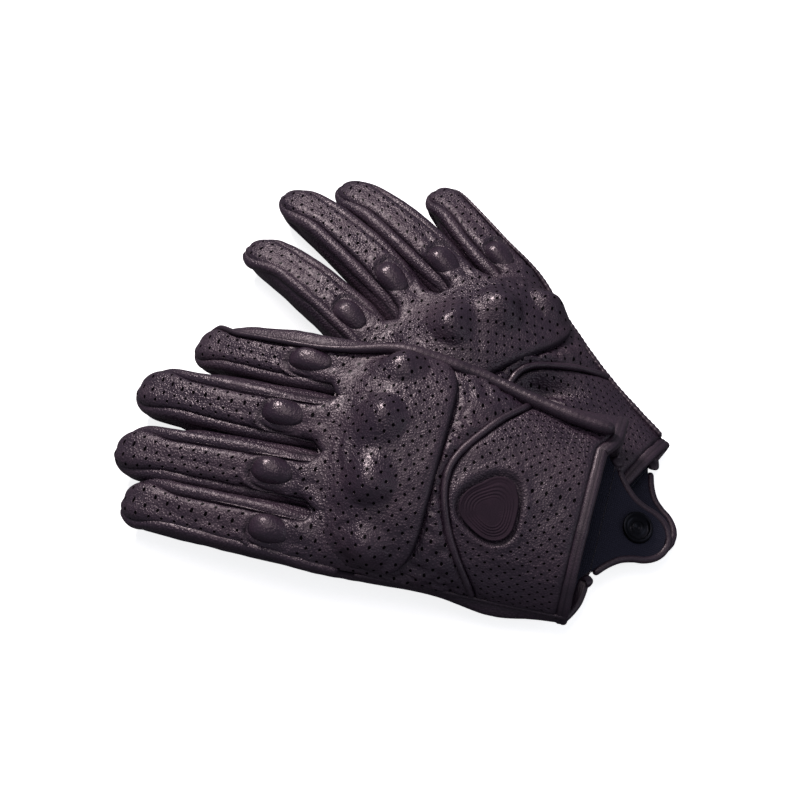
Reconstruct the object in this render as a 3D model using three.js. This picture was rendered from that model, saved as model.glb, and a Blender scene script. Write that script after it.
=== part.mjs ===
// A pair of short-cuff leather riding gloves, one lying on the other.
// Millimetres, +Z up, the surface they lie on is z = 0.
// Each glove is drawn in its own axes: X runs from the cuff to the fingertips,
// Y towards the thumb's side and Z up.
import * as THREE from 'three';

// Driving sizes of a glove.
const PALM_LENGTH = 120;
const KNUCKLE_WIDTH = 100;
const HAND_DEPTH = 34;
const INDEX_LENGTH = 87;
const MIDDLE_LENGTH = 95;
const RING_LENGTH = 92;
const LITTLE_LENGTH = 76;
const FINGER_WIDTH = 24.5;
const FINGER_DEPTH = 20;
const LEATHER = 1.2;
const FIT_GAP = 0.3;
const LAYER_GAP = 0.55;

// Where the hand turns into fingers.
const BLEND_BACK = 22;
const BLEND_AHEAD = 14;
const CROTCH_AHEAD = 6.5;
const CROTCH_SETBACK = 3;
const CROTCH_DROP = 2.4;

// Knuckle guard.
const SHELL_THICKNESS = 1.8;
const BUMP_RISE = 4.6;
const BUMP_LENGTH = 17;
const BUMP_WIDTH = 11.5;
const GUARD_BACK = 67;
const GUARD_FRONT_INSET = 4;
const GUARD_CORNER = 15;

// Finger domes.
const DOME_LENGTH = 19;
const DOME_WIDTH = 12.5;
const DOME_RISE = 3;
const DOME_RIM = 0.6;

// Cuff: panel, piping, binding, lining, badge.
const PIPING_RADIUS = 1.3;
const PIPING_PROUD = 0.5;
const BINDING_WIDTH = 4.2;
const BINDING_THICKNESS = 3.6;
const LINING_THICKNESS = 0.7;
const LINING_GAP = 1.1;
const LINING_LENGTH = 92;
const LINING_EASE_SHARE = 0.03;
const WELT_RADIUS = 1.2;
const BADGE_RADIUS = 13.6;
const BADGE_THICKNESS = 1.8;
const BADGE_DISH = 0.5;
const BADGE_ALONG_SHARE = 0.345;

// Palm rim and closure tongue.
const RIM_REACH = 4;
const RIM_SLOPE = 6;
const TONGUE_LENGTH = 28;
const TONGUE_BASE_WIDTH = 46;
const TONGUE_LIFT = 4;
const TONGUE_BINDING_RADIUS = 1.5;
const TONGUE_BINDING_START = 5;
const SNAP_RADIUS = 6.6;
const SNAP_RIM = 1.3;
const SNAP_HEIGHT = 1.9;
const SNAP_DISH = 0.8;
const SNAP_CAP_HEIGHT = 1.3;

// Thumb.
const THUMB_LENGTH = 66;
const THUMB_WIDTH = 24;
const THUMB_DEPTH = 13;
const THUMB_HOLE_LENGTH = 34;

// Places of the gloves on the surface. The front one lies off the rear one by
// shares of KNUCKLE_WIDTH.
const REAR_CUFF_X = 98.9;
const REAR_CUFF_Y = -46.7;
const FRONT_OFF_SHARES = [-0.17, -0.33];

const REAR_HEADING = 41;
const FRONT_HEADING = 15.5;
const RAD = Math.PI / 180;
// How square the hand's edges are: 1 is an ellipse.
const EDGE_POWER = 0.84;
const SEAM_ANGLE = 14 * RAD;
const FINGER_SEAM_ANGLE = 38 * RAD;
const NOSE_SEAM_ANGLE = 5 * RAD;
const BADGE_ANGLE = 79 * RAD;
const FINGER_LENGTHS = [INDEX_LENGTH, MIDDLE_LENGTH, RING_LENGTH, LITTLE_LENGTH];

// Hand sections from the cuff to past the finger crotches. Along is a share of
// PALM_LENGTH, the sides are shares of KNUCKLE_WIDTH, the heights, the crown and
// the belly are shares of HAND_DEPTH, and lean moves the belly to the thumb's side.
// Columns: along, thumb side, its height, little side, its height, crown, belly, lean.
const REAR_SECTION_SHARES = [
  [-0.1, 0.375, 0.11, -0.29, 0.2, 0.27, 0.13, 0],
  [0, 0.375, 0.11, -0.3, 0.21, 0.28, 0.13, 0],
  [0.3, 0.36, 0.2, -0.37, 0.26, 0.42, 0.26, 0],
  [0.54, 0.355, 0.28, -0.46, 0.31, 0.6, 0.32, 0],
  [0.8, 0.345, 0.36, -0.57, 0.34, 0.755, 0.36, 0],
  [1.0, 0.34, 0.38, -0.65, 0.34, 0.535, 0.34, 0],
  [1.2, 0.32, 0.36, -0.72, 0.32, 0.36, 0.3, 0],
];
const FRONT_SECTION_SHARES = [
  [-0.1, 0.365, 0.32, -0.57, 0.76, 0.68, 0.1, 0.6],
  [0, 0.365, 0.32, -0.57, 0.79, 0.7, 0.1, 0.6],
  [0.3, 0.385, 0.38, -0.525, 1.0, 0.66, 0.14, 0.4],
  [0.54, 0.415, 0.5, -0.55, 1.12, 0.63, 0.17, 0.2],
  [0.8, 0.45, 0.56, -0.565, 1.2, 0.6, 0.2, 0],
  [1.0, 0.465, 0.5, -0.55, 1.12, 0.42, 0.26, 0],
  [1.2, 0.47, 0.42, -0.53, 1.0, 0.3, 0.28, 0],
];

// Lines across the hand, as shares of PALM_LENGTH at five places from the
// thumb's side to the little finger's.
const REAR_WEB_SHARES = [1.04, 1.033, 0.975, 0.85, 0.785];
const FRONT_WEB_SHARES = [0.925, 0.94, 0.99, 0.98, 0.975];
const PIPING_SHARES = [0.33, 0.47, 0.52, 0.42, 0.29];

// Each finger's tip from the middle of its crotch line, as shares of its length:
// along, towards the thumb, down. Then its headings and dips at both ends and the
// roll of its section, in degrees.
const REAR_FINGER_SHARES = [
  { reach: [0.965, -0.06, -0.1], head: [-7, 0], dip: [2, 16], roll: [-4, 0] },
  { reach: [1.0, -0.14, -0.1], head: [-14, -4], dip: [2, 16], roll: [0, 0] },
  { reach: [0.975, -0.14, -0.1], head: [-10, -5], dip: [2, 16], roll: [4, 0] },
  { reach: [0.86, -0.25, -0.1], head: [-8, -16], dip: [2, 16], roll: [8, 0] },
];
const FRONT_FINGER_SHARES = [
  { reach: [1.0, -0.042, -0.16], head: [-1, -8], dip: [4, 20], roll: [-20, -8] },
  { reach: [0.99, -0.008, -0.2], head: [3, -3], dip: [6, 22], roll: [-16, -6] },
  { reach: [1.0, -0.09, -0.27], head: [3, -11], dip: [8, 26], roll: [-12, -4] },
  { reach: [0.98, -0.13, -0.37], head: [2, -12], dip: [12, 30], roll: [-10, -2] },
];

// The thumb's hole: its place along as a share of PALM_LENGTH, its angle round
// the hand, the twist of its mouth, and the thumb's headings and dips in degrees.
const REAR_THUMB_SHARES = { along: 0.47, angle: -12, twist: 90, head: [58, 22], dip: [8, 0] };
const FRONT_THUMB_SHARES = { along: 0.44, angle: -52, twist: 0, head: [-10, -22], dip: [50, 0] };

const REAR_POSE = {
  sections: REAR_SECTION_SHARES,
  web: REAR_WEB_SHARES,
  fingers: REAR_FINGER_SHARES,
  thumb: REAR_THUMB_SHARES,
  tongueDrop: -0.02,
  tongueSideShare: 0.045,
};
const FRONT_POSE = {
  sections: FRONT_SECTION_SHARES,
  web: FRONT_WEB_SHARES,
  fingers: FRONT_FINGER_SHARES,
  thumb: FRONT_THUMB_SHARES,
  tongueDrop: 0.22,
  tongueSideShare: -0.015,
};

const BLACK_LEATHER = { color: 0x2a2026, roughness: 0.42, metalness: 0 };
const PLAIN_LEATHER = { color: 0x2c2228, roughness: 0.38, metalness: 0 };
const HARD_SHELL = { color: 0x1b1a1c, roughness: 0.5, metalness: 0 };
const DARK_RUBBER = { color: 0x1d1a1c, roughness: 0.6, metalness: 0 };
const NAVY_CLOTH = { color: 0x14151f, roughness: 0.95, metalness: 0 };
const TRIM_LEATHER = { color: 0x241c21, roughness: 0.5, metalness: 0 };
const DARK_METAL = { color: 0x17171c, roughness: 0.3, metalness: 0.8 };

const mix = THREE.MathUtils.lerp;
const ease = (x) => THREE.MathUtils.smoothstep(x, 0, 1);
const signedPower = (x, power) => Math.sign(x) * Math.abs(x) ** power;

// A smooth value from the column of a table whose first column is the place.
function readTable(table, column, place) {
  let k = 0;
  while (k < table.length - 2 && place > table[k + 1][0]) k += 1;
  const row = (n) => table[THREE.MathUtils.clamp(n, 0, table.length - 1)];
  const [x0, x1] = [row(k)[0], row(k + 1)[0]];
  const slope = (n) => {
    const [before, after] = [row(n - 1), row(n + 1)];
    return (after[column] - before[column]) / (after[0] - before[0]);
  };
  const span = x1 - x0;
  const t = THREE.MathUtils.clamp((place - x0) / span, -0.5, 1.2);
  const [p0, p1] = [row(k)[column], row(k + 1)[column]];
  const [m0, m1] = [slope(k) * span, slope(k + 1) * span];
  if (t < 0) return p0 + m0 * t;
  if (t > 1) return p1 + m1 * (t - 1);
  const [t2, t3] = [t * t, t * t * t];
  return (2 * t3 - 3 * t2 + 1) * p0 + (t3 - 2 * t2 + t) * m0
    + (3 * t2 - 2 * t3) * p1 + (t3 - t2) * m1;
}

// The place along of a line across the hand at an angle round it.
function lineAlong(shares, angle) {
  const across = signedPower(Math.cos(angle), EDGE_POWER);
  const place = (1 - across) * 0.5 * (shares.length - 1);
  const table = shares.map((share, n) => [n, share]);
  return PALM_LENGTH * readTable(table, 1, place);
}

// Nothing reaches below the surface that the gloves lie on.
function lay(point, depth) {
  point.z = Math.max(point.z, Math.max(depth, 0));
  return point;
}

// A distance square to a line across the hand, as it measures along the glove.
function squareOff(pose, shares, angle, distance) {
  const [before, after] = [-2 * RAD, 2 * RAD].map((step) => (
    handPoint(pose, lineAlong(shares, angle + step), angle + step, 0)));
  const across = Math.hypot(after.y - before.y, after.z - before.z);
  return distance * Math.hypot(1, (after.x - before.x) / across);
}

// The hand's surface: angle 0 is the thumb's side, 90 degrees the back of the
// hand, 180 degrees the little finger's side. Depth is measured into the hand.
function handPoint(pose, along, angle, depth) {
  const read = (column) => readTable(pose.sections, column, along / PALM_LENGTH);
  const near = new THREE.Vector2(read(1) * KNUCKLE_WIDTH, read(2) * HAND_DEPTH);
  const far = new THREE.Vector2(read(3) * KNUCKLE_WIDTH, read(4) * HAND_DEPTH);
  const middle = near.clone().add(far).multiplyScalar(0.5);
  const half = near.clone().sub(far).multiplyScalar(0.5);
  const side = half.clone().normalize();
  const [c, s] = [Math.cos(angle), Math.sin(angle)];
  const across = (half.length() - depth) * signedPower(c, EDGE_POWER);
  const crown = read(5) * HAND_DEPTH - depth;
  const belly = read(6) * HAND_DEPTH * (1 + read(7) * c) - depth;
  const up = s > 0 ? crown * s : belly * s;
  return lay(new THREE.Vector3(
    along,
    middle.x + side.x * across - side.y * up,
    middle.y + side.y * across + side.x * up,
  ), depth);
}

// The angles round the hand between which each finger grows, index first. The
// four columns share the hand's width alike.
const angleAcross = (share) => Math.acos(signedPower(share, 1 / EDGE_POWER));
const COLUMN_ANGLES = [1, 0.5, 0, -0.5, -1].map(angleAcross);
const columnMiddle = (finger) => angleAcross(0.75 - 0.5 * finger);

// The middle line of a finger, from its crotch line to its tip.
function fingerPath(pose, finger) {
  const angle = columnMiddle(finger);
  const along = lineAlong(pose.web, angle);
  const top = handPoint(pose, along, angle, 0);
  const bottom = handPoint(pose, along, -angle, 0);
  const start = top.clone().add(bottom).multiplyScalar(0.5);
  const length = FINGER_LENGTHS[finger];
  const spec = pose.fingers[finger];
  const end = new THREE.Vector3(...spec.reach).multiplyScalar(length).add(start);
  end.z = Math.max(end.z, FINGER_DEPTH * 0.4);
  const heading = (n) => {
    const [yaw, pitch] = [spec.head[n] * RAD, spec.dip[n] * RAD];
    const flat = Math.cos(pitch);
    return new THREE.Vector3(flat * Math.cos(yaw), flat * Math.sin(yaw), -Math.sin(pitch));
  };
  return new THREE.CubicBezierCurve3(
    start,
    start.clone().addScaledVector(heading(0), length * 0.36),
    end.clone().addScaledVector(heading(1), -length * 0.36),
    end,
  );
}

// A point on a finger: run is measured from its crotch line, angle 0 faces the
// thumb's side and 90 degrees its back.
function fingerPoint(pose, finger, run, angle, depth) {
  const path = pose.paths[finger];
  const length = FINGER_LENGTHS[finger];
  const share = THREE.MathUtils.clamp(run / length, 0, 1);
  const ahead = path.getTangentAt(share);
  const centre = path.getPointAt(share);
  if (run < 0) centre.addScaledVector(ahead, run);
  centre.addScaledVector(ahead, -depth * ease((share - 0.75) / 0.25));
  const side = new THREE.Vector3(0, 0, 1).cross(ahead).normalize();
  const up = ahead.clone().cross(side).normalize();
  const [rollStart, rollEnd] = pose.fingers[finger].roll;
  const roll = mix(rollStart, rollEnd, share) * RAD;
  const tilted = side.clone().multiplyScalar(Math.cos(roll)).addScaledVector(up, Math.sin(roll));
  const back = up.clone().multiplyScalar(Math.cos(roll)).addScaledVector(side, -Math.sin(roll));
  const slim = finger === 3 ? 0.92 : 1;
  const nose = (share - 0.84) / 0.16;
  const round = nose > 0 ? Math.max(0.07, Math.sqrt(Math.max(0, 1 - nose * nose))) : 1;
  const shrink = (1 - 0.14 * share) * round * slim;
  const across = (FINGER_WIDTH / 2 - depth) * shrink * signedPower(Math.cos(angle), 0.8);
  const rise = (FINGER_DEPTH / 2 - depth) * shrink * signedPower(Math.sin(angle), 0.8);
  centre.addScaledVector(tilted, across).addScaledVector(back, rise);
  return lay(centre, depth);
}

// How far a place has turned from hand into finger.
const fingerShare = (run) => ease((run + BLEND_BACK) / (BLEND_BACK + BLEND_AHEAD));

// The glove's skin, in the column of one finger.
function skinPoint(pose, finger, spot, depth) {
  const along = spot.along ?? lineAlong(pose.web, spot.hand) + spot.run;
  const onHand = handPoint(pose, along, spot.hand, depth);
  if (spot.run <= -BLEND_BACK) return onHand;
  const onFinger = fingerPoint(pose, finger, spot.run, spot.finger, depth);
  return onHand.lerp(onFinger, fingerShare(spot.run));
}

// A sheet of cells, thickened into one closed solid.
class Sheet {
  constructor() {
    this.spots = [];
    this.numbers = new Map();
    this.cells = [];
  }

  spot(key, data) {
    if (!this.numbers.has(key)) {
      this.numbers.set(key, this.spots.length);
      this.spots.push(data);
    }
    return this.numbers.get(key);
  }

  cell(...corners) {
    this.cells.push(corners);
  }

  // place(data, inner) gives the point on the outer or the inner face.
  solid(place) {
    const count = this.spots.length;
    const points = [
      ...this.spots.map((data) => place(data, false)),
      ...this.spots.map((data) => place(data, true)),
    ];
    const triangles = [];
    const edges = new Map();
    for (const cell of this.cells) {
      for (let n = 1; n < cell.length - 1; n += 1) {
        triangles.push([cell[0], cell[n], cell[n + 1]]);
        triangles.push([cell[0] + count, cell[n + 1] + count, cell[n] + count]);
      }
      cell.forEach((a, n) => {
        const b = cell[(n + 1) % cell.length];
        if (edges.has(`${b} ${a}`)) edges.delete(`${b} ${a}`);
        else edges.set(`${a} ${b}`, [a, b]);
      });
    }
    for (const [a, b] of edges.values()) {
      triangles.push([b, a, a + count]);
      triangles.push([b, a + count, b + count]);
    }
    return closedGeometry(points, triangles);
  }
}

// A geometry from points and triangles, turned so that its faces point out.
function closedGeometry(points, triangles) {
  let volume = 0;
  for (const [a, b, c] of triangles) {
    volume += points[a].dot(new THREE.Vector3().crossVectors(points[b], points[c]));
  }
  const index = volume > 0 ? triangles.flat() : triangles.flatMap(([a, b, c]) => [a, c, b]);
  const geometry = new THREE.BufferGeometry();
  geometry.setAttribute('position', new THREE.Float32BufferAttribute(
    points.flatMap((point) => [point.x, point.y, point.z]), 3));
  geometry.setIndex(index);
  geometry.computeVertexNormals();
  return geometry;
}

// A bead along stations, each with a centre and two half axes of its section.
function beadGeometry(stations, sides) {
  const points = [];
  for (const { centre, across, up } of stations) {
    for (let n = 0; n < sides; n += 1) {
      const angle = (n + 0.5) / sides * 2 * Math.PI;
      points.push(centre.clone()
        .addScaledVector(across, Math.cos(angle))
        .addScaledVector(up, Math.sin(angle)));
    }
  }
  const triangles = [];
  for (let k = 0; k < stations.length - 1; k += 1) {
    for (let n = 0; n < sides; n += 1) {
      const [a, b] = [k * sides + n, k * sides + (n + 1) % sides];
      triangles.push([a, b, b + sides], [a, b + sides, a + sides]);
    }
  }
  const last = (stations.length - 1) * sides;
  for (let n = 1; n < sides - 1; n += 1) {
    triangles.push([0, n + 1, n], [last, last + n, last + n + 1]);
  }
  return closedGeometry(points, triangles);
}

// A bead that follows a line on a surface: place(k, depth) is the surface at step k.
function seamBead(place, steps, depth, width, height, sides) {
  const stations = [];
  for (let k = 0; k <= steps; k += 1) {
    const centre = place(k, depth);
    const outward = place(k, depth - LEATHER).sub(centre).normalize();
    const ahead = place(Math.min(k + 1, steps), depth).sub(place(Math.max(k - 1, 0), depth));
    const across = ahead.cross(outward).normalize().multiplyScalar(width / 2);
    stations.push({ centre, across, up: outward.multiplyScalar(height / 2) });
  }
  return beadGeometry(stations, sides);
}

// Cells across the finger columns of the back and the palm, index first.
const BACK_CELLS = [4, 3, 3, 4];
const PALM_CELLS = [4, 2, 2, 4];

// Rows of a finger column past the crotch line, as distances from it.
const TIP_SHARES = [0.28, 0.42, 0.57, 0.71, 0.84, 0.92, 0.97, 1];
function fingerRuns(finger) {
  const length = FINGER_LENGTHS[finger];
  return [CROTCH_AHEAD, BLEND_AHEAD, ...TIP_SHARES.map((share) => share * length)];
}

// The seams of a finger close in towards its nose.
function seamAngle(finger, run) {
  const share = ease((run / FINGER_LENGTHS[finger] - 0.7) / 0.3);
  return mix(FINGER_SEAM_ANGLE, NOSE_SEAM_ANGLE, share);
}

// Adds the hand rows and the four finger columns of the back or the palm.
// across lists the number of cells in each column, index first.
function coverHand(sheet, side, across, handRows) {
  const seamGap = FIT_GAP / FINGER_WIDTH;
  let first = 0;
  for (let finger = 0; finger < 4; finger += 1) {
    const cells = across[finger];
    const runs = fingerRuns(finger);
    const rows = handRows.length + runs.length;
    const number = (row, n) => {
      const t = n / cells;
      const onHand = row < handRows.length;
      const run = onHand ? handRows[row].run : runs[row - handRows.length];
      const seam = seamAngle(finger, run) + seamGap;
      const limits = columnLimits(side, finger, seam);
      const spot = {
        finger,
        run,
        hand: mix(limits.hand[0], limits.hand[1], t),
        tipAngle: mix(limits.tip[0], limits.tip[1], t),
        row: onHand ? row : -1,
        shared: onHand && ((n === 0 && finger > 0) || (n === cells && finger < 3)),
        neighbour: n === 0 ? finger - 1 : finger + 1,
      };
      const key = onHand ? `hand ${row} ${first + n}` : `finger ${finger} ${row} ${n}`;
      return sheet.spot(key, spot);
    };
    for (let row = 0; row < rows - 1; row += 1) {
      for (let n = 0; n < cells; n += 1) {
        if (handRows[row]?.skip?.(first + n)) continue;
        const corners = [number(row, n), number(row + 1, n)];
        corners.push(number(row + 1, n + 1), number(row, n + 1));
        sheet.cell(...corners);
      }
    }
    first += cells;
  }
}

// The angles that a column covers, on the hand and on its finger.
function columnLimits(side, finger, seam) {
  const handSeam = SEAM_ANGLE + FIT_GAP / HAND_DEPTH;
  if (side === 'back') {
    const start = finger === 0 ? handSeam : COLUMN_ANGLES[finger];
    const end = finger === 3 ? Math.PI - handSeam : COLUMN_ANGLES[finger + 1];
    return { hand: [start, end], tip: [seam, Math.PI - seam] };
  }
  const palmSeam = SEAM_ANGLE - FIT_GAP / HAND_DEPTH;
  const palmTip = seam - FIT_GAP * 4 / FINGER_WIDTH;
  const start = finger === 0 ? palmSeam : -COLUMN_ANGLES[finger];
  const end = finger === 3 ? -Math.PI - palmSeam : -COLUMN_ANGLES[finger + 1];
  const outer = [finger === 0 ? palmTip : -seam, finger === 3 ? -Math.PI - palmTip : seam - Math.PI];
  return { hand: [start, end], tip: outer };
}

// Where a spot of the back or the palm lies.
function coverPoint(pose, spot, along, depth) {
  const own = { run: spot.run, hand: spot.hand, finger: spot.tipAngle, along };
  const point = skinPoint(pose, spot.finger, own, depth);
  if (!spot.shared || spot.run <= -BLEND_BACK) return point;
  const mirrored = (spot.tipAngle > 0 ? Math.PI : -Math.PI) - spot.tipAngle;
  const other = skinPoint(pose, spot.neighbour, { ...own, finger: mirrored }, depth);
  return point.lerp(other, 0.5);
}

// Rows on the hand from a line at the back of the panel to the crotch line.
function handRowTable(count, skip) {
  const rows = [];
  for (let k = 0; k <= count; k += 1) rows.push({ run: -BLEND_BACK, share: k / count, skip });
  for (const share of [0.6, 0.3, 0]) rows.push({ run: -BLEND_BACK * share, skip: undefined });
  return rows;
}

// Where a hand row lies along the glove, from a panel's back line forward.
function rowAlong(pose, row, angle, backLine) {
  const web = lineAlong(pose.web, angle);
  if (row.share === undefined) return web + row.run;
  return mix(backLine, web - BLEND_BACK, row.share);
}

// Half the width that the piping takes from the panels on both sides of it.
function pipingGap(pose, angle) {
  return squareOff(pose, PIPING_SHARES, angle, PIPING_RADIUS + FIT_GAP);
}

function backPanel(pose) {
  const sheet = new Sheet();
  const rows = handRowTable(6);
  coverHand(sheet, 'back', BACK_CELLS, rows);
  return sheet.solid((spot, inner) => {
    let along;
    if (spot.row >= 0) {
      const start = lineAlong(PIPING_SHARES, spot.hand) + pipingGap(pose, spot.hand);
      along = rowAlong(pose, rows[spot.row], spot.hand, start);
    }
    return coverPoint(pose, spot, along, inner ? LEATHER : 0);
  });
}

// The palm panel's rim runs straight under the closure tongue.
function tongueMiddle(pose) {
  const near = readTable(pose.sections, 1, 0);
  const far = readTable(pose.sections, 3, 0);
  return ((near + far) / 2 + pose.tongueSideShare) * KNUCKLE_WIDTH;
}

// How far the palm's rim reaches past the back's edge, by the place across.
function rimReach(pose, y) {
  const off = Math.abs(y - tongueMiddle(pose)) - TONGUE_BASE_WIDTH / 2;
  return RIM_REACH * (1 - ease(off / RIM_SLOPE));
}

// The straight line that the tongue hangs on, on its outer face.
function hingeEnds(pose) {
  const middle = tongueMiddle(pose);
  return [1, -1].map((sign) => {
    const y = middle + sign * TONGUE_BASE_WIDTH / 2;
    const height = handPoint(pose, 0, palmAngle(pose, y), 0).z;
    return new THREE.Vector3(-RIM_REACH, y, height);
  });
}

// Height of the palm's outer face past the back's edge, easing into that line.
function rimPoint(pose, angle, share, depth) {
  const edge = handPoint(pose, 0, angle, depth);
  const reach = rimReach(pose, edge.y);
  const [near, far] = hingeEnds(pose);
  const place = (edge.y - far.y) / (near.y - far.y);
  const line = mix(far.z, near.z, THREE.MathUtils.clamp(place, 0, 1)) + depth;
  const point = edge.clone();
  point.x = -reach * share;
  if (place > 0 && place < 1) point.z = mix(edge.z, line, ease(share));
  return point;
}

function palmPanel(pose) {
  const sheet = new Sheet();
  const hole = thumbHole(pose);
  const rows = [
    { run: -BLEND_BACK, rim: 1 },
    { run: -BLEND_BACK, rim: 0.45 },
    ...handRowTable(6),
  ];
  rows.forEach((row, k) => {
    row.skip = (n) => hole.rows.includes(k - 2) && hole.cells.includes(n);
  });
  coverHand(sheet, 'palm', PALM_CELLS, rows);
  return sheet.solid((spot, inner) => {
    const depth = inner ? LEATHER : 0;
    const row = rows[spot.row];
    if (row?.rim) return rimPoint(pose, spot.hand, row.rim, depth);
    const along = row ? rowAlong(pose, row, spot.hand, 0) : undefined;
    return coverPoint(pose, spot, along, depth);
  });
}

// A fourchette: the wall of one finger, round the crotch, and the next one's wall.
function fourchette(pose, finger) {
  const sheet = new Sheet();
  const levels = 2;
  const stations = [];
  const runs = fingerRuns(finger).length - 2;
  for (let k = runs - 1; k >= 0; k -= 1) stations.push({ side: 0, k });
  for (const turn of [0.25, 0.5, 0.75]) stations.push({ turn });
  for (let k = 0; k < runs; k += 1) stations.push({ side: 1, k });
  stations.forEach((station, n) => {
    for (let level = 0; level < levels; level += 1) {
      if (n === 0) continue;
      const number = (m, l) => sheet.spot(`${m} ${l}`, { station: stations[m], level: l / levels });
      sheet.cell(number(n - 1, level), number(n, level), number(n, level + 1), number(n - 1, level + 1));
    }
  });
  return sheet.solid(({ station, level }, inner) => {
    const depth = inner ? LEATHER : 0;
    if (station.turn === undefined) {
      return wallPoint(pose, finger, station.side, station.k, level, depth);
    }
    const start = wallPoint(pose, finger, 0, 0, level, depth);
    const end = wallPoint(pose, finger, 1, 0, level, depth);
    const middle = start.clone().add(end).multiplyScalar(0.5);
    const back = pose.paths[finger].getTangentAt(0).negate();
    const swing = station.turn * Math.PI;
    return middle.add(start.sub(end).multiplyScalar(0.5 * Math.cos(swing)))
      .addScaledVector(back, (CROTCH_SETBACK + depth) * Math.sin(swing));
  });
}

// A point on a finger's wall that faces the next finger.
function wallPoint(pose, finger, side, k, level, depth) {
  const own = finger + side;
  const run = fingerRuns(own)[k];
  const seam = seamAngle(own, run) - FIT_GAP * 2 / FINGER_WIDTH;
  const sweep = mix(seam, -seam, level);
  const angle = side === 0 ? Math.PI - sweep : sweep;
  const onFinger = fingerPoint(pose, own, run, angle, depth);
  const share = fingerShare(run);
  if (share >= 1) return onFinger;
  const edge = COLUMN_ANGLES[finger + 1];
  const along = lineAlong(pose.web, edge) + run;
  const top = handPoint(pose, along, edge, 0);
  const bottom = handPoint(pose, along, -edge, 0);
  const onHand = top.lerp(bottom, level);
  onHand.y += side === 0 ? depth : -depth;
  const point = onHand.lerp(onFinger, share);
  if (k === 0) point.z -= CROTCH_DROP * (1 - 2 * level);
  return point;
}

function cuffPanel(pose) {
  const sheet = new Sheet();
  const angles = backAngles();
  const rows = 5;
  gridCells(sheet, rows, angles.length - 1);
  return sheet.solid(({ i, j }, inner) => {
    const angle = angles[j];
    const end = lineAlong(PIPING_SHARES, angle) - pipingGap(pose, angle);
    return handPoint(pose, mix(0, end, i / rows), angle, inner ? LEATHER : 0);
  });
}

// The angles of the back or palm panel's columns, shared by what lies on it,
// behind it or along its edge.
function coverAngles(side, across) {
  const angles = [];
  across.forEach((cells, finger) => {
    const [start, end] = columnLimits(side, finger, 0).hand;
    for (let n = finger === 0 ? 0 : 1; n <= cells; n += 1) angles.push(mix(start, end, n / cells));
  });
  return angles;
}
const backAngles = () => coverAngles('back', BACK_CELLS);
const palmAngles = () => coverAngles('palm', PALM_CELLS);

function gridCells(sheet, rows, columns) {
  const number = (i, j) => sheet.spot(`${i} ${j}`, { i, j });
  for (let i = 0; i < rows; i += 1) {
    for (let j = 0; j < columns; j += 1) {
      sheet.cell(number(i, j), number(i + 1, j), number(i + 1, j + 1), number(i, j + 1));
    }
  }
}

function cuffPiping(pose) {
  const angles = backAngles();
  const inset = (PIPING_RADIUS + FIT_GAP) / (HAND_DEPTH / 2);
  angles[0] += inset;
  angles[angles.length - 1] -= inset;
  const place = (k, depth) => handPoint(pose, lineAlong(PIPING_SHARES, angles[k]), angles[k], depth);
  const depth = PIPING_RADIUS - PIPING_PROUD - FIT_GAP;
  return seamBead(place, angles.length - 1, depth, PIPING_RADIUS * 2, PIPING_RADIUS * 2, 6);
}

// The knuckle guard's grid: the cover has one more ring than the shell under it.
const GUARD_ROWS = 8;
const GUARD_COLUMNS = 12;
function guardSpot(pose, i, j) {
  const start = SEAM_ANGLE * 1.7;
  const angle = mix(start, Math.PI - start, j / GUARD_COLUMNS);
  const corner = Math.abs(2 * j / GUARD_COLUMNS - 1) ** 5 * GUARD_CORNER;
  const front = lineAlong(pose.web, angle) - GUARD_FRONT_INSET - corner;
  const shift = lineAlong(pose.web, angle) - lineAlong(FRONT_WEB_SHARES, angle);
  const back = GUARD_BACK + corner * 0.8 + shift * 0.5;
  const along = mix(back, front, i / GUARD_ROWS);
  return { angle, along, rise: knuckleRise(pose, along, angle) };
}

// The moulded bumps over the four knuckles.
function knuckleRise(pose, along, angle) {
  let rise = 0;
  for (let finger = 0; finger < 4; finger += 1) {
    const middle = columnMiddle(finger);
    const away = (lineAlong(pose.web, middle) - BLEND_BACK - along) / (BUMP_LENGTH / 2);
    const aside = (Math.cos(angle) - Math.cos(middle)) * KNUCKLE_WIDTH / 2 / (BUMP_WIDTH / 2);
    const reach = 1 - (away * away + aside * aside) / 2;
    if (reach > 0) rise += BUMP_RISE * ease(reach);
  }
  return rise;
}

function guardLayer(pose, inset, base, thickness, ramp) {
  const sheet = new Sheet();
  gridCells(sheet, GUARD_ROWS - 2 * inset, GUARD_COLUMNS - 2 * inset);
  return sheet.solid(({ i, j }, inner) => {
    const [row, column] = [i + inset, j + inset];
    const spot = guardSpot(pose, row, column);
    const onRing = row === 0 || column === 0 || row === GUARD_ROWS || column === GUARD_COLUMNS;
    const height = onRing ? ramp : base + spot.rise;
    return handPoint(pose, spot.along, spot.angle, -height - (inner ? 0 : thickness));
  });
}

const knuckleShell = (pose) => guardLayer(pose, 1, LAYER_GAP, SHELL_THICKNESS, LAYER_GAP);
const COVER_BASE = LAYER_GAP + SHELL_THICKNESS + FIT_GAP;
const knuckleCover = (pose) => guardLayer(pose, 0, COVER_BASE, LEATHER, LAYER_GAP);

// A disc of rings round a centre; place(ring, turn, inner) gives its points.
function ringedDisc(rings, turns, place) {
  const sheet = new Sheet();
  const centre = sheet.spot('centre', { ring: 0, turn: 0 });
  const number = (r, n) => sheet.spot(`${r} ${n % turns}`, { ring: r / rings, turn: n % turns / turns });
  for (let n = 0; n < turns; n += 1) {
    sheet.cell(centre, number(1, n), number(1, n + 1));
    for (let r = 1; r < rings; r += 1) {
      sheet.cell(number(r, n), number(r + 1, n), number(r + 1, n + 1), number(r, n + 1));
    }
  }
  return sheet.solid((data, inner) => place(data.ring, data.turn * 2 * Math.PI, inner));
}

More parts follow.
